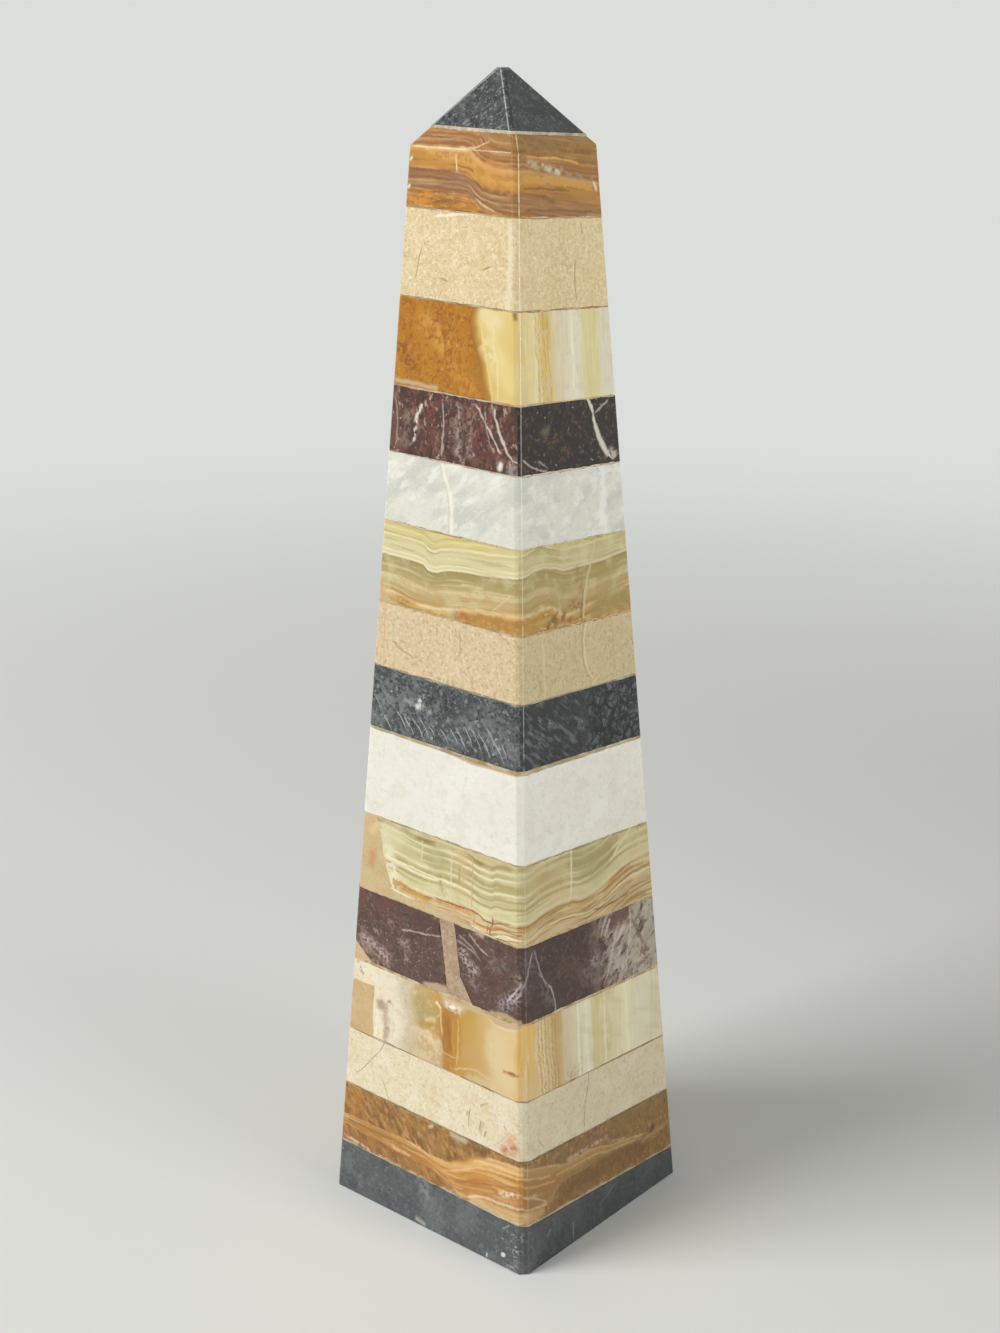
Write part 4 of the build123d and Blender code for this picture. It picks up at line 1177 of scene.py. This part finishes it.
beige = Finish("beige limestone", "#d9c29b", bed_height(8))
beige.mottle([
    ("#dec8a2", 10, 0.44, 0.64, 0.6, 5),
    ("#ccb68a", 4, 0.5, 0.66, 0.5, 5),
    ("#bca173", 1.6, 0.5, 0.66, 0.75, 5),
    ("#eddcb8", 1.3, 0.5, 0.66, 0.6, 5),
])
# Painted shade over the right-hand face, with some of its own tint.
beige.tint_and_shade_side("#ada373", 0.36)
front, side = beige.faces(beige.stirred(5, 1.4))
beige.line(front, [(-27, 15), (-22, 12), (-15, 10)], 0.5, "#bd9668")
beige.lines(front, [
    ([(-30.6, 1), (-31.4, 12), (-30.8, 26)], 0.7, "#d8b083"),
    ([(6, 14), (8, 20), (7, 25)], 0.4, "#c3a070"),
], upright=True)
beige.lines(side, [
    ([(4, 26), (1.6, 15), (8, 2)], 0.6, "#b39a6c"),
    ([(5.4, 26), (3, 15), (9.2, 2)], 0.7, "#e0cfa6"),
    ([(-26, 10), (-25, 6), (-24, 4)], 1.4, "#c19c6c"),
    ([(-23, 24), (-22.4, 12), (-23, 2)], 1.0, "#d8c49c"),
    ([(20, 24), (22, 14), (21, 4)], 0.4, "#c4aa7c"),
], upright=True)
ground_piece("beige_limestone", beige.polish(0.36, worn="#ead9b8"))


# ---- Upper green onyx ----------------------------------------------------------------------------
# The same layered onyx as below, with a thicker rust-brown foot, an olive middle and a pale top. Resin
# makes up its broken upright edge here too.

green = Finish("green onyx with a rusty foot", "#c4b482", bed_height(9))
front, side = green.faces(green.stirred(5, 1.0))
flows = []
for face, rust, sag in (
    (
        front,
        [(-40, 0.8), (-28, 0.5), (-10, -2), (0, -1), (10, 0.5), (20, 2), (40, 2.6)],
        [(-40, 0.4), (-33, 0), (-20, -0.2), (-12, -1), (-7, -3), (-3, -2), (5, -0.5), (20, 0.5), (40, 2.4)],
    ),
    (
        side,
        [(-40, 2.6), (-33, 2), (-22, 3), (-12, -0.5), (-5, -2.5), (3, -2), (15, -1), (30, 0.5), (40, 1)],
        [(-40, 2.4), (-32, 2), (-25, 3), (-15, 1.8), (-5, -0.5), (5, -1), (18, -1.2), (40, 0.8)],
    ),
):
    low_sag, high_sag = green.profile(face.along, rust), green.profile(face.along, sag)
    blend = green.add("MapRange", {"Value": face.up, "From Min": 9, "From Max": 20})[0]
    bend = green.add("Mix", {0: blend, 2: low_sag, 3: high_sag})[0]
    flows.append(green.add("Math", [face.up, bend], operation="SUBTRACT")[0])
flow = green.by_face(*flows)
green.colour = green.bands(flow, [
    (0, "#bf9048"), (2.5, "#c4984a"), (4.2, "#a87c36"), (5.6, "#cfa053"), (6.5, "#dab474"),
    (7.2, "#efdcae"), (8.0, "#bd9450"), (10, "#bfa26a"), (12.5, "#c6aa76"), (14, "#d9c794"),
    (15, "#bca872"), (17, "#b09e66"), (20.4, "#a99860"), (21.7, "#9d8d56"), (22.4, "#f3eac6"),
    (23.3, "#d8cb98"), (24.1, "#efe5bc"), (25, "#d6c998"), (27, "#ddd3a6"), (29.4, "#d0c28c"),
    (30.3, "#eee4b6"), (31.2, "#ccbc78"), (32, "#d6c682"), (33, "#e4d79c"), (34, "#cbb56a"),
    (35, "#dac88a"),
])
along_flow = green.layered(flow)
green.mottle([
    ("#e0d7a8", 1.3, 0.5, 0.66, 0.45, 4, 0.5, (0.06, 0.06, 1)),
    ("#9c8e58", 1.6, 0.52, 0.68, 0.5, 4, 0.5, (0.05, 0.05, 1)),
], place=along_flow)
# Painted shade over the right-hand face, with some of its own tint.
green.tint_and_shade_side("#957f42", 0.36)
green.mottle([("#d9d09f", 9, 0.5, 0.64, 0.4)])
rusty = green.level(flow, 8.5, 6.5)
green.mottle([
    ("#a87a38", 2.6, 0.48, 0.62, 0.8, 5, 0.5, (0.4, 0.4, 1)),
    ("#e2b878", 1.6, 0.52, 0.66, 0.7, 5, 0.5, (0.4, 0.4, 1)),
], within=rusty)
green.patches(front, [
    ([(8, 5), (22, 5), (36, 5.4)], 4, "#c08a3c", 2.4, 0, 0.6),
    ([(6, 5.4), (22, 4.4), (36, 4)], 4, "#a06f30", 2.2, 2.2, 0.5),
    ([(8, 7.6), (22, 8.8), (36, 10.4)], 1.0, "#e3bd80", 1.0, 0, 0.8),
    ([(-30, 5), (-26, 5)], 2.4, "#c99a54", 1.4, 0, 0.5),
    ([(8, 17), (18, 17.4)], 0.6, "#dcd0a4", 0.8, 0, 0.6),
    ([(14, 14), (30, 12)], 6, "#c9a468", 3, 2.6, 0.6),
    ([(-24, 13), (-6, 11)], 5, "#c6a670", 3, 2.6, 0.6),
])
green.line(front, [(23, 10), (27, 13), (29, 14.5), (32, 18)], 0.4, "#d9cb9e", 0.5, 0.7)
green.patches(side, [
    ([(-32, 3), (-22, 7)], 5, "#b98f3c", 2.6, 3, 0.8),
    ([(-19, 2), (-12, 5), (-6, 3)], 4.5, "#865e2e", 1.6, 3, 0.9),
    ([(0, 20), (3, 12)], 4, "#9c7a46", 2, 2.2, 0.7),
    ([(-4, 8), (3, 6)], 4, "#8c6632", 2, 1.4, 0.8),
    ([(12, 3.6), (34, 3)], 8, "#a08c52", 2.4, 0, 0.75),
    ([(16, 10), (26, 8)], 6, "#a89a62", 3, 0, 0.5),
    ([(-12, 15), (-4, 16)], 8, "#a0945c", 3, 0, 0.4),
])
green.lines(side, [
    ([(3, 0), (4, 6), (6, 14), (10, 23), (13, 30)], 0.9, "#cdc294", 0.5, 0.8),
    ([(1.6, 0), (2.4, 6), (4.4, 13)], 0.5, "#8a6c3c"),
], upright=True)
ground_piece("green_onyx_upper", green.polish(0.24, worn="#f0e6be"))
fill_piece("green_upper_fill", filler_material)


# ---- Upper white marble --------------------------------------------------------------------------
# Greyish white marble with slanting wisps of grey, glued in as an even slab. Cream veins run up its
# front, and one broad white vein up its right-hand face.

white = Finish("grey-white marble", "#e0dfd1", bed_height(10))
turn = {"Vector": white.solid, "Angle": math.radians(35)}
slanting = white.add("VectorRotate", turn, rotation_type="Y_AXIS")[0]
white.mottle([
    ("#cacbc2", 7, 0.43, 0.64, 0.8, 4, 0.5, (0.4, 0.6, 1)),
    ("#f3f2e8", 4, 0.5, 0.68, 0.75, 3, 0.5, (0.35, 0.6, 1)),
    ("#bfc0b6", 1.6, 0.53, 0.68, 0.3, 5, 0.5, (0.45, 0.6, 1)),
], place=slanting)
white.mottle([("#f1f0e6", 1.2, 0.54, 0.68, 0.4, 5)])
# Painted shade over the right-hand face, with some of its own tint.
white.tint_and_shade_side("#b5b7ac", 0.14)
front, side = white.faces(white.stirred(4, 1.4))
white.lines(front, [
    ([(-4, 29), (-2, 23), (1, 15), (1.6, 2)], 1.7, "#f4f0df", 0.7, 0.85),
    ([(-5.4, 29), (-3.2, 23), (-0.2, 15), (0.4, 2)], 0.4, "#d2cebf"),
], upright=True)
white.line(side, [(18.4, 2), (19, 14), (19.6, 27)], 3.4, "#eeeee6", 1.2, 0.7, upright=True)
ground_piece("white_marble_upper", white.polish(0.3, worn="#f9f9f4", wear_and_highlight_most=0.35))


# ---- Upper burgundy marble -----------------------------------------------------------------------
# Dark wine marble, red and pale-flecked in columns on the front, and nearly black on the right, partly its
# own colour and partly painted shade, where a thick pale vein runs down it.

wine = Finish("burgundy marble, veined", "#4f3329", bed_height(11))
wine.mottle([
    ("#6f4438", 7, 0.45, 0.62, 0.8, 5),
    ("#3d2a24", 3.4, 0.5, 0.64, 0.7, 5),
    ("#8d6553", 3.2, 0.52, 0.62, 0.8, 6, 0.65, (1, 1, 0.6)),
    ("#b59c8c", 2.0, 0.57, 0.64, 0.9, 6, 0.65, (1, 1, 0.7)),
    ("#34211c", 2.6, 0.54, 0.62, 0.8, 6, 0.6),
])
front, side = wine.faces(wine.stirred(3, 1.5))
wine.patches(front, [
    ([(-10, 20), (-10, 8)], 4, "#74392f", 2, 1.8, 0.7),
    ([(10, 22), (16, 10)], 8, "#763b33", 3, 1.8, 0.7),
    ([(-7, 13), (-7, 7)], 2.4, "#8a6440", 1.2, 1.6, 0.8),
    ([(12, 5), (18, 5)], 3.5, "#7f5238", 1.6, 1.6, 0.8),
    ([(-30, 22), (-26, 8)], 8, "#6f4d44", 3, 2.6, 0.7),
    ([(3.4, 23), (3.6, 7)], 3, "#a8968a", 2.0, 1.3, 0.75),
    ([(9, 20), (9, 7)], 2, "#9c8a7e", 1.8, 1.3, 0.7),
    ([(-22, 18), (-23, 7)], 3, "#8f7c70", 2.2, 1.4, 0.6),
    ([(31, 6), (30, 3)], 4.5, "#99968f", 1.8, 2, 0.8),
    ([(24, 4.4), (24.4, 5.4)], 2.2, "#efe4d8", 0.9, 0, 1),
    ([(-18.5, 9), (-17.4, 17), (-15, 22)], 1.4, "#e6dacd", 0.8, 2.2, 1),
    ([(22, 16), (30, 20)], 6, "#4a302c", 2.5, 0, 0.6),
])
wine.lines(front, [
    ([(-4.6, 4), (-4, 14), (-5, 25)], 0.7, "#b3a297"),
    ([(-28, 5), (-27, 13), (-29, 24)], 0.5, "#9f8d84"),
    ([(11.5, 26), (16, 20), (20, 15), (24, 9)], 0.9, "#cfc2b6"),
    ([(20, 26), (22, 20), (25, 14), (27.6, 10), (33, 6)], 1.0, "#d6cabd"),
    ([(16, 25), (17, 18), (21, 9)], 0.4, "#a59286"),
], upright=True)
on_side = wine.both(side.on, wine.level(wine.is_front, 1, 0))
# The right-hand face darkened nearly to black: partly its own colour, partly painted shade.
wine.mottle([
    ("#1b130f", 6, 0.2, 0.4, 0.92),
    ("#5f4b3a", 2.6, 0.55, 0.63, 0.8, 6, 0.65),
    ("#0f0a07", 2.0, 0.53, 0.62, 0.8, 6, 0.6),
], within=on_side)
wine.tint(wine.both(on_side, wine.flecks(1.5, 0.08, 0.32, 0.8)), "#a08e7c")
wine.patch(side, [(-16, 16), (-14, 16.4)], 2.6, "#65603a", 1.4)
wine.lines(side, [
    ([(-30, 8), (-22, 3.4), (-15, 1)], 0.8, "#a89f92"),
    ([(-21, 6), (-18, 4.4), (-15, 2)], 0.6, "#948b7e"),
    ([(15, 18), (20, 20), (25, 22)], 0.9, "#a9a294"),
])
thick = [(10.6, 26), (14, 20), (16, 13), (19, 7), (23, 2), (27, -1)]
wine.line(side, thick, 1.3, "#d3d0c1", 0.5, 1, upright=True)
wine.patches(side, [
    (thick[2:5], 2.4, "#cfccbc", 0.7, 0, 0.95),
    ([(23, 2.4), (29, 0.6)], 3.4, "#b9b5a4", 1.2, 2.4),
])
ground_piece("burgundy_upper", wine.polish(0.24, worn="#b5a89f", wear_and_highlight_most=0.4))


# ---- Upper honey onyx ----------------------------------------------------------------------------
# Honey onyx again, deeper orange and grainy at the left of the front, yellow at its right, with
# upright bands in the right-hand face.

honey = Finish("honey onyx, orange to yellow", "#dfc478", bed_height(12))
front, side = honey.faces(honey.stirred(6, 2.4))
border = honey.profile(front.up, [(0, 18.5), (6, 17.4), (12, 16), (20, 13.6), (27, 11), (29, 10.4), (35, 12)])
past = honey.add("Math", [front.along, border], operation="SUBTRACT")[0]
orange = honey.bands(past, [
    (-44, "#c0811a"), (-36, "#ae6e0c"), (-28, "#bb7c16"), (-18, "#a6660a"), (-8, "#b67616"),
    (-3.4, "#ae6e14"), (-2.8, "#a06a1e"), (-0.4, "#c2933e"), (1.6, "#dfc47e"), (8, "#e8d492"),
    (18, "#e0c478"), (26, "#d8b760"),
])
honey.colour = honey.bands(side.along, [
    (-44, "#e4c87e"), (-28, "#e6cd84"), (-24, "#ecd898"), (-20, "#eee0a8"), (-18.8, "#f6eac0"),
    (-17.6, "#e6c678"), (-16.4, "#efdfa8"), (-15, "#dfc070"), (-13, "#e2c474"), (-11, "#dcbc6c"),
    (-9, "#e0d09e"), (-5, "#e2d6b6"), (0, "#e6dec6"), (2.6, "#ebe4c8"), (3.4, "#faf6e0"), (4.4, "#e8e2c6"),
    (8, "#e6e5cc"), (10, "#e3daa6"), (15, "#e0d498"), (19, "#e1d69c"), (21.6, "#dfdcc6"), (25, "#e0deca"),
    (44, "#dcd6b0"),
])
honey.tint(honey.is_front, orange)
grainy = honey.both(honey.level(past, -2.6, -4), front.on)
honey.mottle([
    ("#b4781c", 6, 0.45, 0.6, 0.7, 5),
    ("#965a10", 2.2, 0.48, 0.66, 0.75, 5),
    ("#c08628", 1.3, 0.5, 0.64, 0.8, 5),
], within=grainy)
honey.tint(honey.both(grainy, honey.flecks(1.8, 0.08, 0.32, 0.5)), "#d6ac5c")
honey.patches(front, [
    ([(-25, 17), (-21, 11)], 6, "#8a4f18", 2, 1.5, 0.8),
    ([(-14, 27), (-4, 20)], 8, "#d59e48", 3, 3, 0.7),
    ([(-26, 26), (-22, 30)], 5, "#b06a1c", 2, 2.4, 0.7),
    ([(0, 12), (10, 6)], 8, "#ce8e34", 3, 2.6, 0.7),
    ([(15, 33), (20, 29)], 6, "#ecdcae", 2, 0, 0.7),
    ([(22, 27), (28, 20)], 5, "#e0c071", 3, 0, 0.5),
    ([(15, 22), (20, 16)], 5, "#eddda8", 2.6, 3, 0.7),
    ([(20, 8), (28, 4)], 5, "#d8b45c", 2.6, 0, 0.5),
    ([(28, 34), (28.4, 33)], 1.4, "#94642c", 0.8),
    ([(10, 12), (17, 3)], 4, "#a5741f", 2.6, 0, 0.6),
    ([(24, 12), (30, 8)], 7, "#e6cf88", 3, 0, 0.6),
    ([(-28, 4.4), (-18, 4.0), (-8, 3.4)], 1.4, "#c9b08c", 0.8),
])
honey.lines(front, [
    ([(19.4, 2), (17.4, 12), (14.8, 20), (12, 31)], 0.4, "#ecd08c"),
    ([(22, 3), (21, 14), (18.6, 25), (19, 34)], 0.4, "#eddca4"),
], upright=True)
on_side = honey.both(side.on, honey.level(honey.is_front, 1, 0))
honey.mottle([
    ("#f8f2da", 1.4, 0.5, 0.68, 0.35, 4, 0.5, (1, 1, 0.06)),
    ("#c4b27c", 1.6, 0.5, 0.68, 0.25, 4, 0.5, (1, 1, 0.06)),
], within=on_side)
honey.patch(side, [(-13.6, 33), (-13, 26)], 3.6, "#d8b054", 2.4, 0, 0.6)
wavy = honey.faces(honey.stirred(2.4, 2.6))[1]
for along in (-18.4, -16.2, -13.6, -11.4):
    line = [(along, -4), (along + 0.4, 12), (along - 0.3, 24), (along, 38)]
    honey.line(wavy, line, 0.3, "#b8903f", 0.5, 0.5, upright=True)
honey.mottle([("#d5ceb2", 5, 0.5, 0.66, 0.5, 4)], within=on_side)
# Painted shade over the right-hand face, with some of its own tint.
honey.tint(honey.both(on_side, honey.level(honey.is_front, 1, 0, 0.15)), "#b8a36c")
ground_piece("honey_onyx_upper", honey.polish(0.22, worn="#f6e4b8"))


# ---- Upper cream marble --------------------------------------------------------------------------
# Cream marble with pale flecks, and hairline cracks that have healed. The right-hand face is speckled
# with olive.

cream = Finish("cream marble, flecked", "#dfc99d", bed_height(13))
cream.mottle([
    ("#e5d2aa", 8, 0.44, 0.64, 0.6, 5),
    ("#d8bf90", 3, 0.5, 0.66, 0.5, 5),
    ("#cdb383", 1.2, 0.52, 0.66, 0.7, 5),
])
cream.tint(cream.flecks(2.2, 0.2, 0.34, 0.7), "#f3e5c4")
cream.tint(cream.threads(3, 0.035, 0.6, 3), "#f6ebcc")
cream.tint(cream.threads(4, 0.015, 0.5, 3), "#b99c68")
front, side = cream.faces(cream.stirred(4, 1.2))
cream.lines(front, [
    ([(-12, 32), (0, 33.6), (16, 35.4)], 0.9, "#f7eeda"),
    ([(-8, 10.2), (-3, 9.6)], 0.4, "#a88c5e"),
    ([(12, 15), (17, 17)], 0.4, "#a88c5e"),
])
cream.lines(front, [
    ([(-17, 21), (-18.6, 15), (-20, 9)], 0.3, "#9c8258", 0.3, 0.8),
    ([(25.4, 2), (25.2, 16), (24.6, 32)], 2.2, "#f0e2c0", 0.8, 0.7),
], upright=True)
# Painted shade over the right-hand face, with some of its own tint.
cream.tint_and_shade_side("#c2b078", 0.2)
olive = cream.stroke(side, [(-3, 32), (-2, 16), (1, 2)], 12, 6, 0.55)
cream.mottle([("#b09e6c", 1.6, 0.5, 0.66, 0.8, 5)], within=olive)
cream.lines(side, [
    ([(8, 17), (6.6, 9), (7, 2)], 0.4, "#8a744c"),
    ([(12, 30), (12.4, 25)], 0.4, "#8a744c"),
], fade=0.3, most=0.8, upright=True)
ground_piece("cream_marble_upper", cream.polish(0.32, worn="#f8efd8", wear_and_highlight_most=0.6))


# ---- Upper brown onyx ----------------------------------------------------------------------------
# Brown onyx with level stripes, which step down towards the near corner: orange and granular below,
# purple-brown, bright orange, then thin red-brown stripes. The shaft's shoulder is ground near its top.

brown = Finish("brown onyx, striped", "#b27c40", bed_height(14))
front, side = brown.faces(brown.stirred(4, 1.3))
flow = brown.by_face(
    brown.over(front, [(-30, 0.6), (-20, 0), (-8, 0.2), (2, 0), (8, -3), (14, -5.4), (20, -6), (30, -6.4)]),
    brown.over(side, [(-30, -6.4), (-22, -6.4), (-12, -8), (0, -10), (12, -12), (30, -14.5)]),
)
brown.colour = brown.bands(flow, [
    (-1, "#a8732f"), (3, "#b8802f"), (5, "#9f6c30"), (6.4, "#b57c34"), (8, "#a8763c"), (9.6, "#876042"),
    (10.3, "#b08a66"), (11.2, "#91694c"), (12, "#a98464"), (12.8, "#86604a"), (13.6, "#ac8664"),
    (14.8, "#9a7250"), (15.6, "#7d563a"), (16.4, "#c88e4c"), (17.4, "#c98f3c"), (19.4, "#d59d46"),
    (21.4, "#c88f3c"), (22.6, "#dba95c"), (23.6, "#e6bf86"), (24.3, "#bb844a"), (25, "#97643a"),
    (25.8, "#bd8850"), (26.6, "#925f36"), (27.5, "#b98450"), (28.4, "#996636"), (29.4, "#bf8a4e"),
    (30.4, "#986a34"), (32, "#b0854a"), (35, "#967036"), (38, "#b38a48"), (42, "#8f6a32"), (46, "#a88248"),
])
along_flow = brown.layered(flow)
brown.mottle([
    ("#dcb47a", 1.2, 0.5, 0.66, 0.6, 4, 0.5, (0.08, 0.08, 1)),
    ("#7c5430", 1.4, 0.52, 0.68, 0.6, 4, 0.5, (0.08, 0.08, 1)),
], place=along_flow)
# Painted shade over the right-hand face, with some of its own tint.
brown.tint_and_shade_side("#8c5a12", 0.48)
brown.tint(brown.level(brown.is_front, 0, 1, 0.25), "#985c10")
low_part = brown.level(flow, 9.4, 8)
brown.mottle([
    ("#c98832", 3.4, 0.46, 0.62, 0.7, 5, 0.5, (0.3, 0.3, 1)),
    ("#8a5a28", 1.6, 0.5, 0.66, 0.7, 5, 0.5, (0.25, 0.25, 1)),
    ("#dcac68", 1.2, 0.53, 0.68, 0.7, 5, 0.5, (0.25, 0.25, 1)),
], within=low_part)
brown.patches(front, [
    ([(-23, 4), (-16, 6)], 4, "#d8923c", 1.8, 2.4, 0.9),
    ([(9, 18), (22, 13)], 9, "#d99e4e", 3, 4, 0.7),
    ([(-24.6, 9), (-24, 9.6)], 0.8, "#f3ead8", 0.5),
    ([(-23.6, 19), (-23, 19.6)], 0.8, "#f3ead8", 0.5),
    ([(-20, 20), (-6, 18)], 5, "#c18a3a", 2.6, 2, 0.6),
    ([(-14, 22), (8, 20)], 3, "#dfb064", 2, 1.6, 0.6),
])
brown.lines(front, [
    ([(8, 7), (13, 4.6), (18, 3)], 0.6, "#dfb87c"),
    ([(5, 28.4), (8, 27.4), (11, 24.6)], 0.7, "#84532c"),
    ([(-1, 24.4), (5, 24.2), (9, 25.4), (12, 27)], 0.5, "#e6c48c"),
    ([(-22, 23.8), (-8, 23.2), (4, 23.4)], 0.8, "#e2bd84"),
])
brown.line(front, [(-2, 22), (-1, 15.5)], 0.4, "#f0d4a0", upright=True)
brown.lines(side, [
    ([(-22, 4), (-4, 2.6), (20, 0)], 0.8, "#6c4526"),
    ([(-16, 8.6), (-10, 7.4), (-3, 5)], 1.2, "#5d3c1e"),
    ([(-22, 11.4), (-10, 10.4), (6, 8.6)], 0.7, "#7a552c"),
    ([(-14, 24.6), (2, 23), (20, 20)], 0.7, "#7d5a26"),
    ([(-20, 22), (-4, 20.6), (12, 17.8)], 0.6, "#dcae5e"),
    ([(-23, 14.6), (0, 12.4), (20, 8.4)], 2.6, "#cc9848"),
])
brown.patches(side, [
    ([(-22, 7), (20, 3)], 7, "#a87a42", 2.6, 0, 0.5),
    ([(-18, 19.6), (-8, 17.6), (1, 15.2)], 2.0, "#bfb08a", 1.6, 3, 0.85),
    ([(-10, 17.8), (0, 15.4)], 1.2, "#d2cbb2", 1.2, 2.6, 0.8),
    ([(1, 15.2), (14, 12.4), (22, 11)], 1.4, "#a0917a", 1.2, 3, 0.7),
    ([(21.4, 10), (22.4, 8)], 1.2, "#e8e2d6", 0.7, 0, 0.8),
    ([(-20, 26), (0, 24), (20, 22)], 7, "#a5823a", 3, 3, 0.6),
])
ground_piece("brown_onyx_upper", brown.polish(0.24, worn="#f2dcb0", wear_and_highlight_most=0.75))


# ---- Charcoal cap --------------------------------------------------------------------------------
# The low blunt point of dark limestone, glued on a little over the shoulder and ground to four faces.
# Its hips are pale, partly worn and partly painted highlight, its glued edge is chipped, and so is the very
# tip.

stone = Finish("charcoal limestone, cap", "#303334", bed_height(15))
stone.mottle([
    ("#4d5051", 6, 0.42, 0.6, 0.8, 6),
    ("#1d2124", 4.5, 0.48, 0.6, 0.85, 6, 0.65, (1, 1, 0.6)),
    ("#828687", 2.0, 0.53, 0.66, 0.8, 6, 0.7, (1, 1, 0.7)),
    ("#949797", 1.3, 0.54, 0.66, 0.7, 5, 0.65),
])
# Painted shade over the right-hand face, with some of its own tint.
stone.tint_and_shade_side("#14181a", 0.5)
chipped = stone.level(over_bed(stone, 2, 1.6), 0.9, 0.4, 0.8)
stone.tint(stone.both(chipped, stone.lumps(3, 0.42, 0.56), stone.is_front), "#c9c0b0")
tip = stone.level(stone.add("SeparateXYZ", [stone.solid])[2], 21, 23.4, 0.8)
stone.mottle([("#9ea3a2", 1.2, 0.4, 0.55)], within=tip)
# Pale hips: partly wear, partly painted highlight, on the front.
cap_material = stone.polish(0.24, worn="#b4b8b8", wear_and_highlight_most=0.8, wear_and_highlight_side=(-0.3, 1))
ground_piece("charcoal_cap", cap_material)


# ---- Table, light and camera ---------------------------------------------------------------------
# A plain pale table top under soft light: a broad key lamp at the front left, a softer one at the
# right, and an even pale room. Far from the obelisk the table runs out into the plain background.

TABLE_SIZE = 8.0
TABLE_COLOUR, TABLE_ROUGHNESS = "#e9eae7", 0.7
FADE_START, FADE_END = 0.3, 1.5
BACKGROUND_COLOUR = "#dcdedb"
ROOM_COLOUR, ROOM_STRENGTH = "#edece7", 0.32
CAMERA_PLACE = (0.5086, -0.5930, 0.4949)
CAMERA_TURN = (71.273, 0.214, 40.688)
LENS, SENSOR_WIDTH = 56.76, 36.0


def seen_or_mirrored(tree):
    """1 on rays from the camera and on those that gloss or glass sends on, and 0 on the rest."""
    rays = add(tree, "LightPath")
    seen = add(tree, "Math", [rays["Is Camera Ray"], rays["Is Glossy Ray"]], operation="MAXIMUM")[0]
    return add(tree, "Math", [seen, rays["Is Transmission Ray"]], operation="MAXIMUM")[0]


bpy.ops.mesh.primitive_plane_add(size=TABLE_SIZE)
table = bpy.context.object
table.name = "table_top"
top = bpy.data.materials.new("painted table top")
top.use_nodes = True
tree = top.node_tree
paint = tree.nodes["Principled BSDF"]
paint.inputs["Base Color"].default_value = linear(TABLE_COLOUR)
paint.inputs["Roughness"].default_value = TABLE_ROUGHNESS
away = add(tree, "VectorMath", [add(tree, "TexCoord")["Object"]], operation="LENGTH")["Value"]
inputs = {"Value": away, "From Min": FADE_START, "From Max": FADE_END}
away = add(tree, "MapRange", inputs, interpolation_type="SMOOTHSTEP")[0]
seen = add(tree, "Math", [away, seen_or_mirrored(tree)], operation="MULTIPLY")[0]
plain = add(tree, "Emission", {"Color": linear(BACKGROUND_COLOUR)})[0]
mixed = add(tree, "MixShader", [seen, paint.outputs[0], plain])[0]
tree.links.new(mixed, tree.nodes["Material Output"].inputs["Surface"])
table.data.materials.append(top)

scene = bpy.context.scene
world = bpy.data.worlds.new("even room")
scene.world = world
world.use_nodes = True
tree = world.node_tree
room = tree.nodes["Background"]
room.inputs["Color"].default_value = linear(ROOM_COLOUR)
room.inputs["Strength"].default_value = ROOM_STRENGTH
backdrop = add(tree, "Background", {"Color": linear(BACKGROUND_COLOUR)})[0]
mixed = add(tree, "MixShader", [seen_or_mirrored(tree), room.outputs[0], backdrop])[0]
tree.links.new(mixed, tree.nodes["World Output"].inputs["Surface"])


def soft_lamp(name, place, height, size, power, spread):
    """A square soft lamp aimed at a height on the obelisk's axis."""
    lamp = bpy.data.lights.new(name, "AREA")
    lamp.size = size
    lamp.energy = power
    lamp.spread = math.radians(spread)
    holder = bpy.data.objects.new(name, lamp)
    scene.collection.objects.link(holder)
    holder.location = place
    aim = Vector((0, 0, height)) - holder.location
    holder.rotation_euler = aim.to_track_quat("-Z", "Y").to_euler()


soft_lamp("front left lamp", (-0.9, -1.5, 1.5), 0.23, 1.2, 38, 180)
soft_lamp("right lamp", (0.7, 0.05, 0.40), 0.42, 0.3, 0.95, 110)

camera = bpy.data.objects.new("camera", bpy.data.cameras.new("camera"))
scene.collection.objects.link(camera)
scene.camera = camera
camera.location = CAMERA_PLACE
camera.rotation_euler = [math.radians(turn) for turn in CAMERA_TURN]
camera.data.sensor_width = SENSOR_WIDTH
camera.data.lens = LENS
scene.view_settings.view_transform = "Standard"
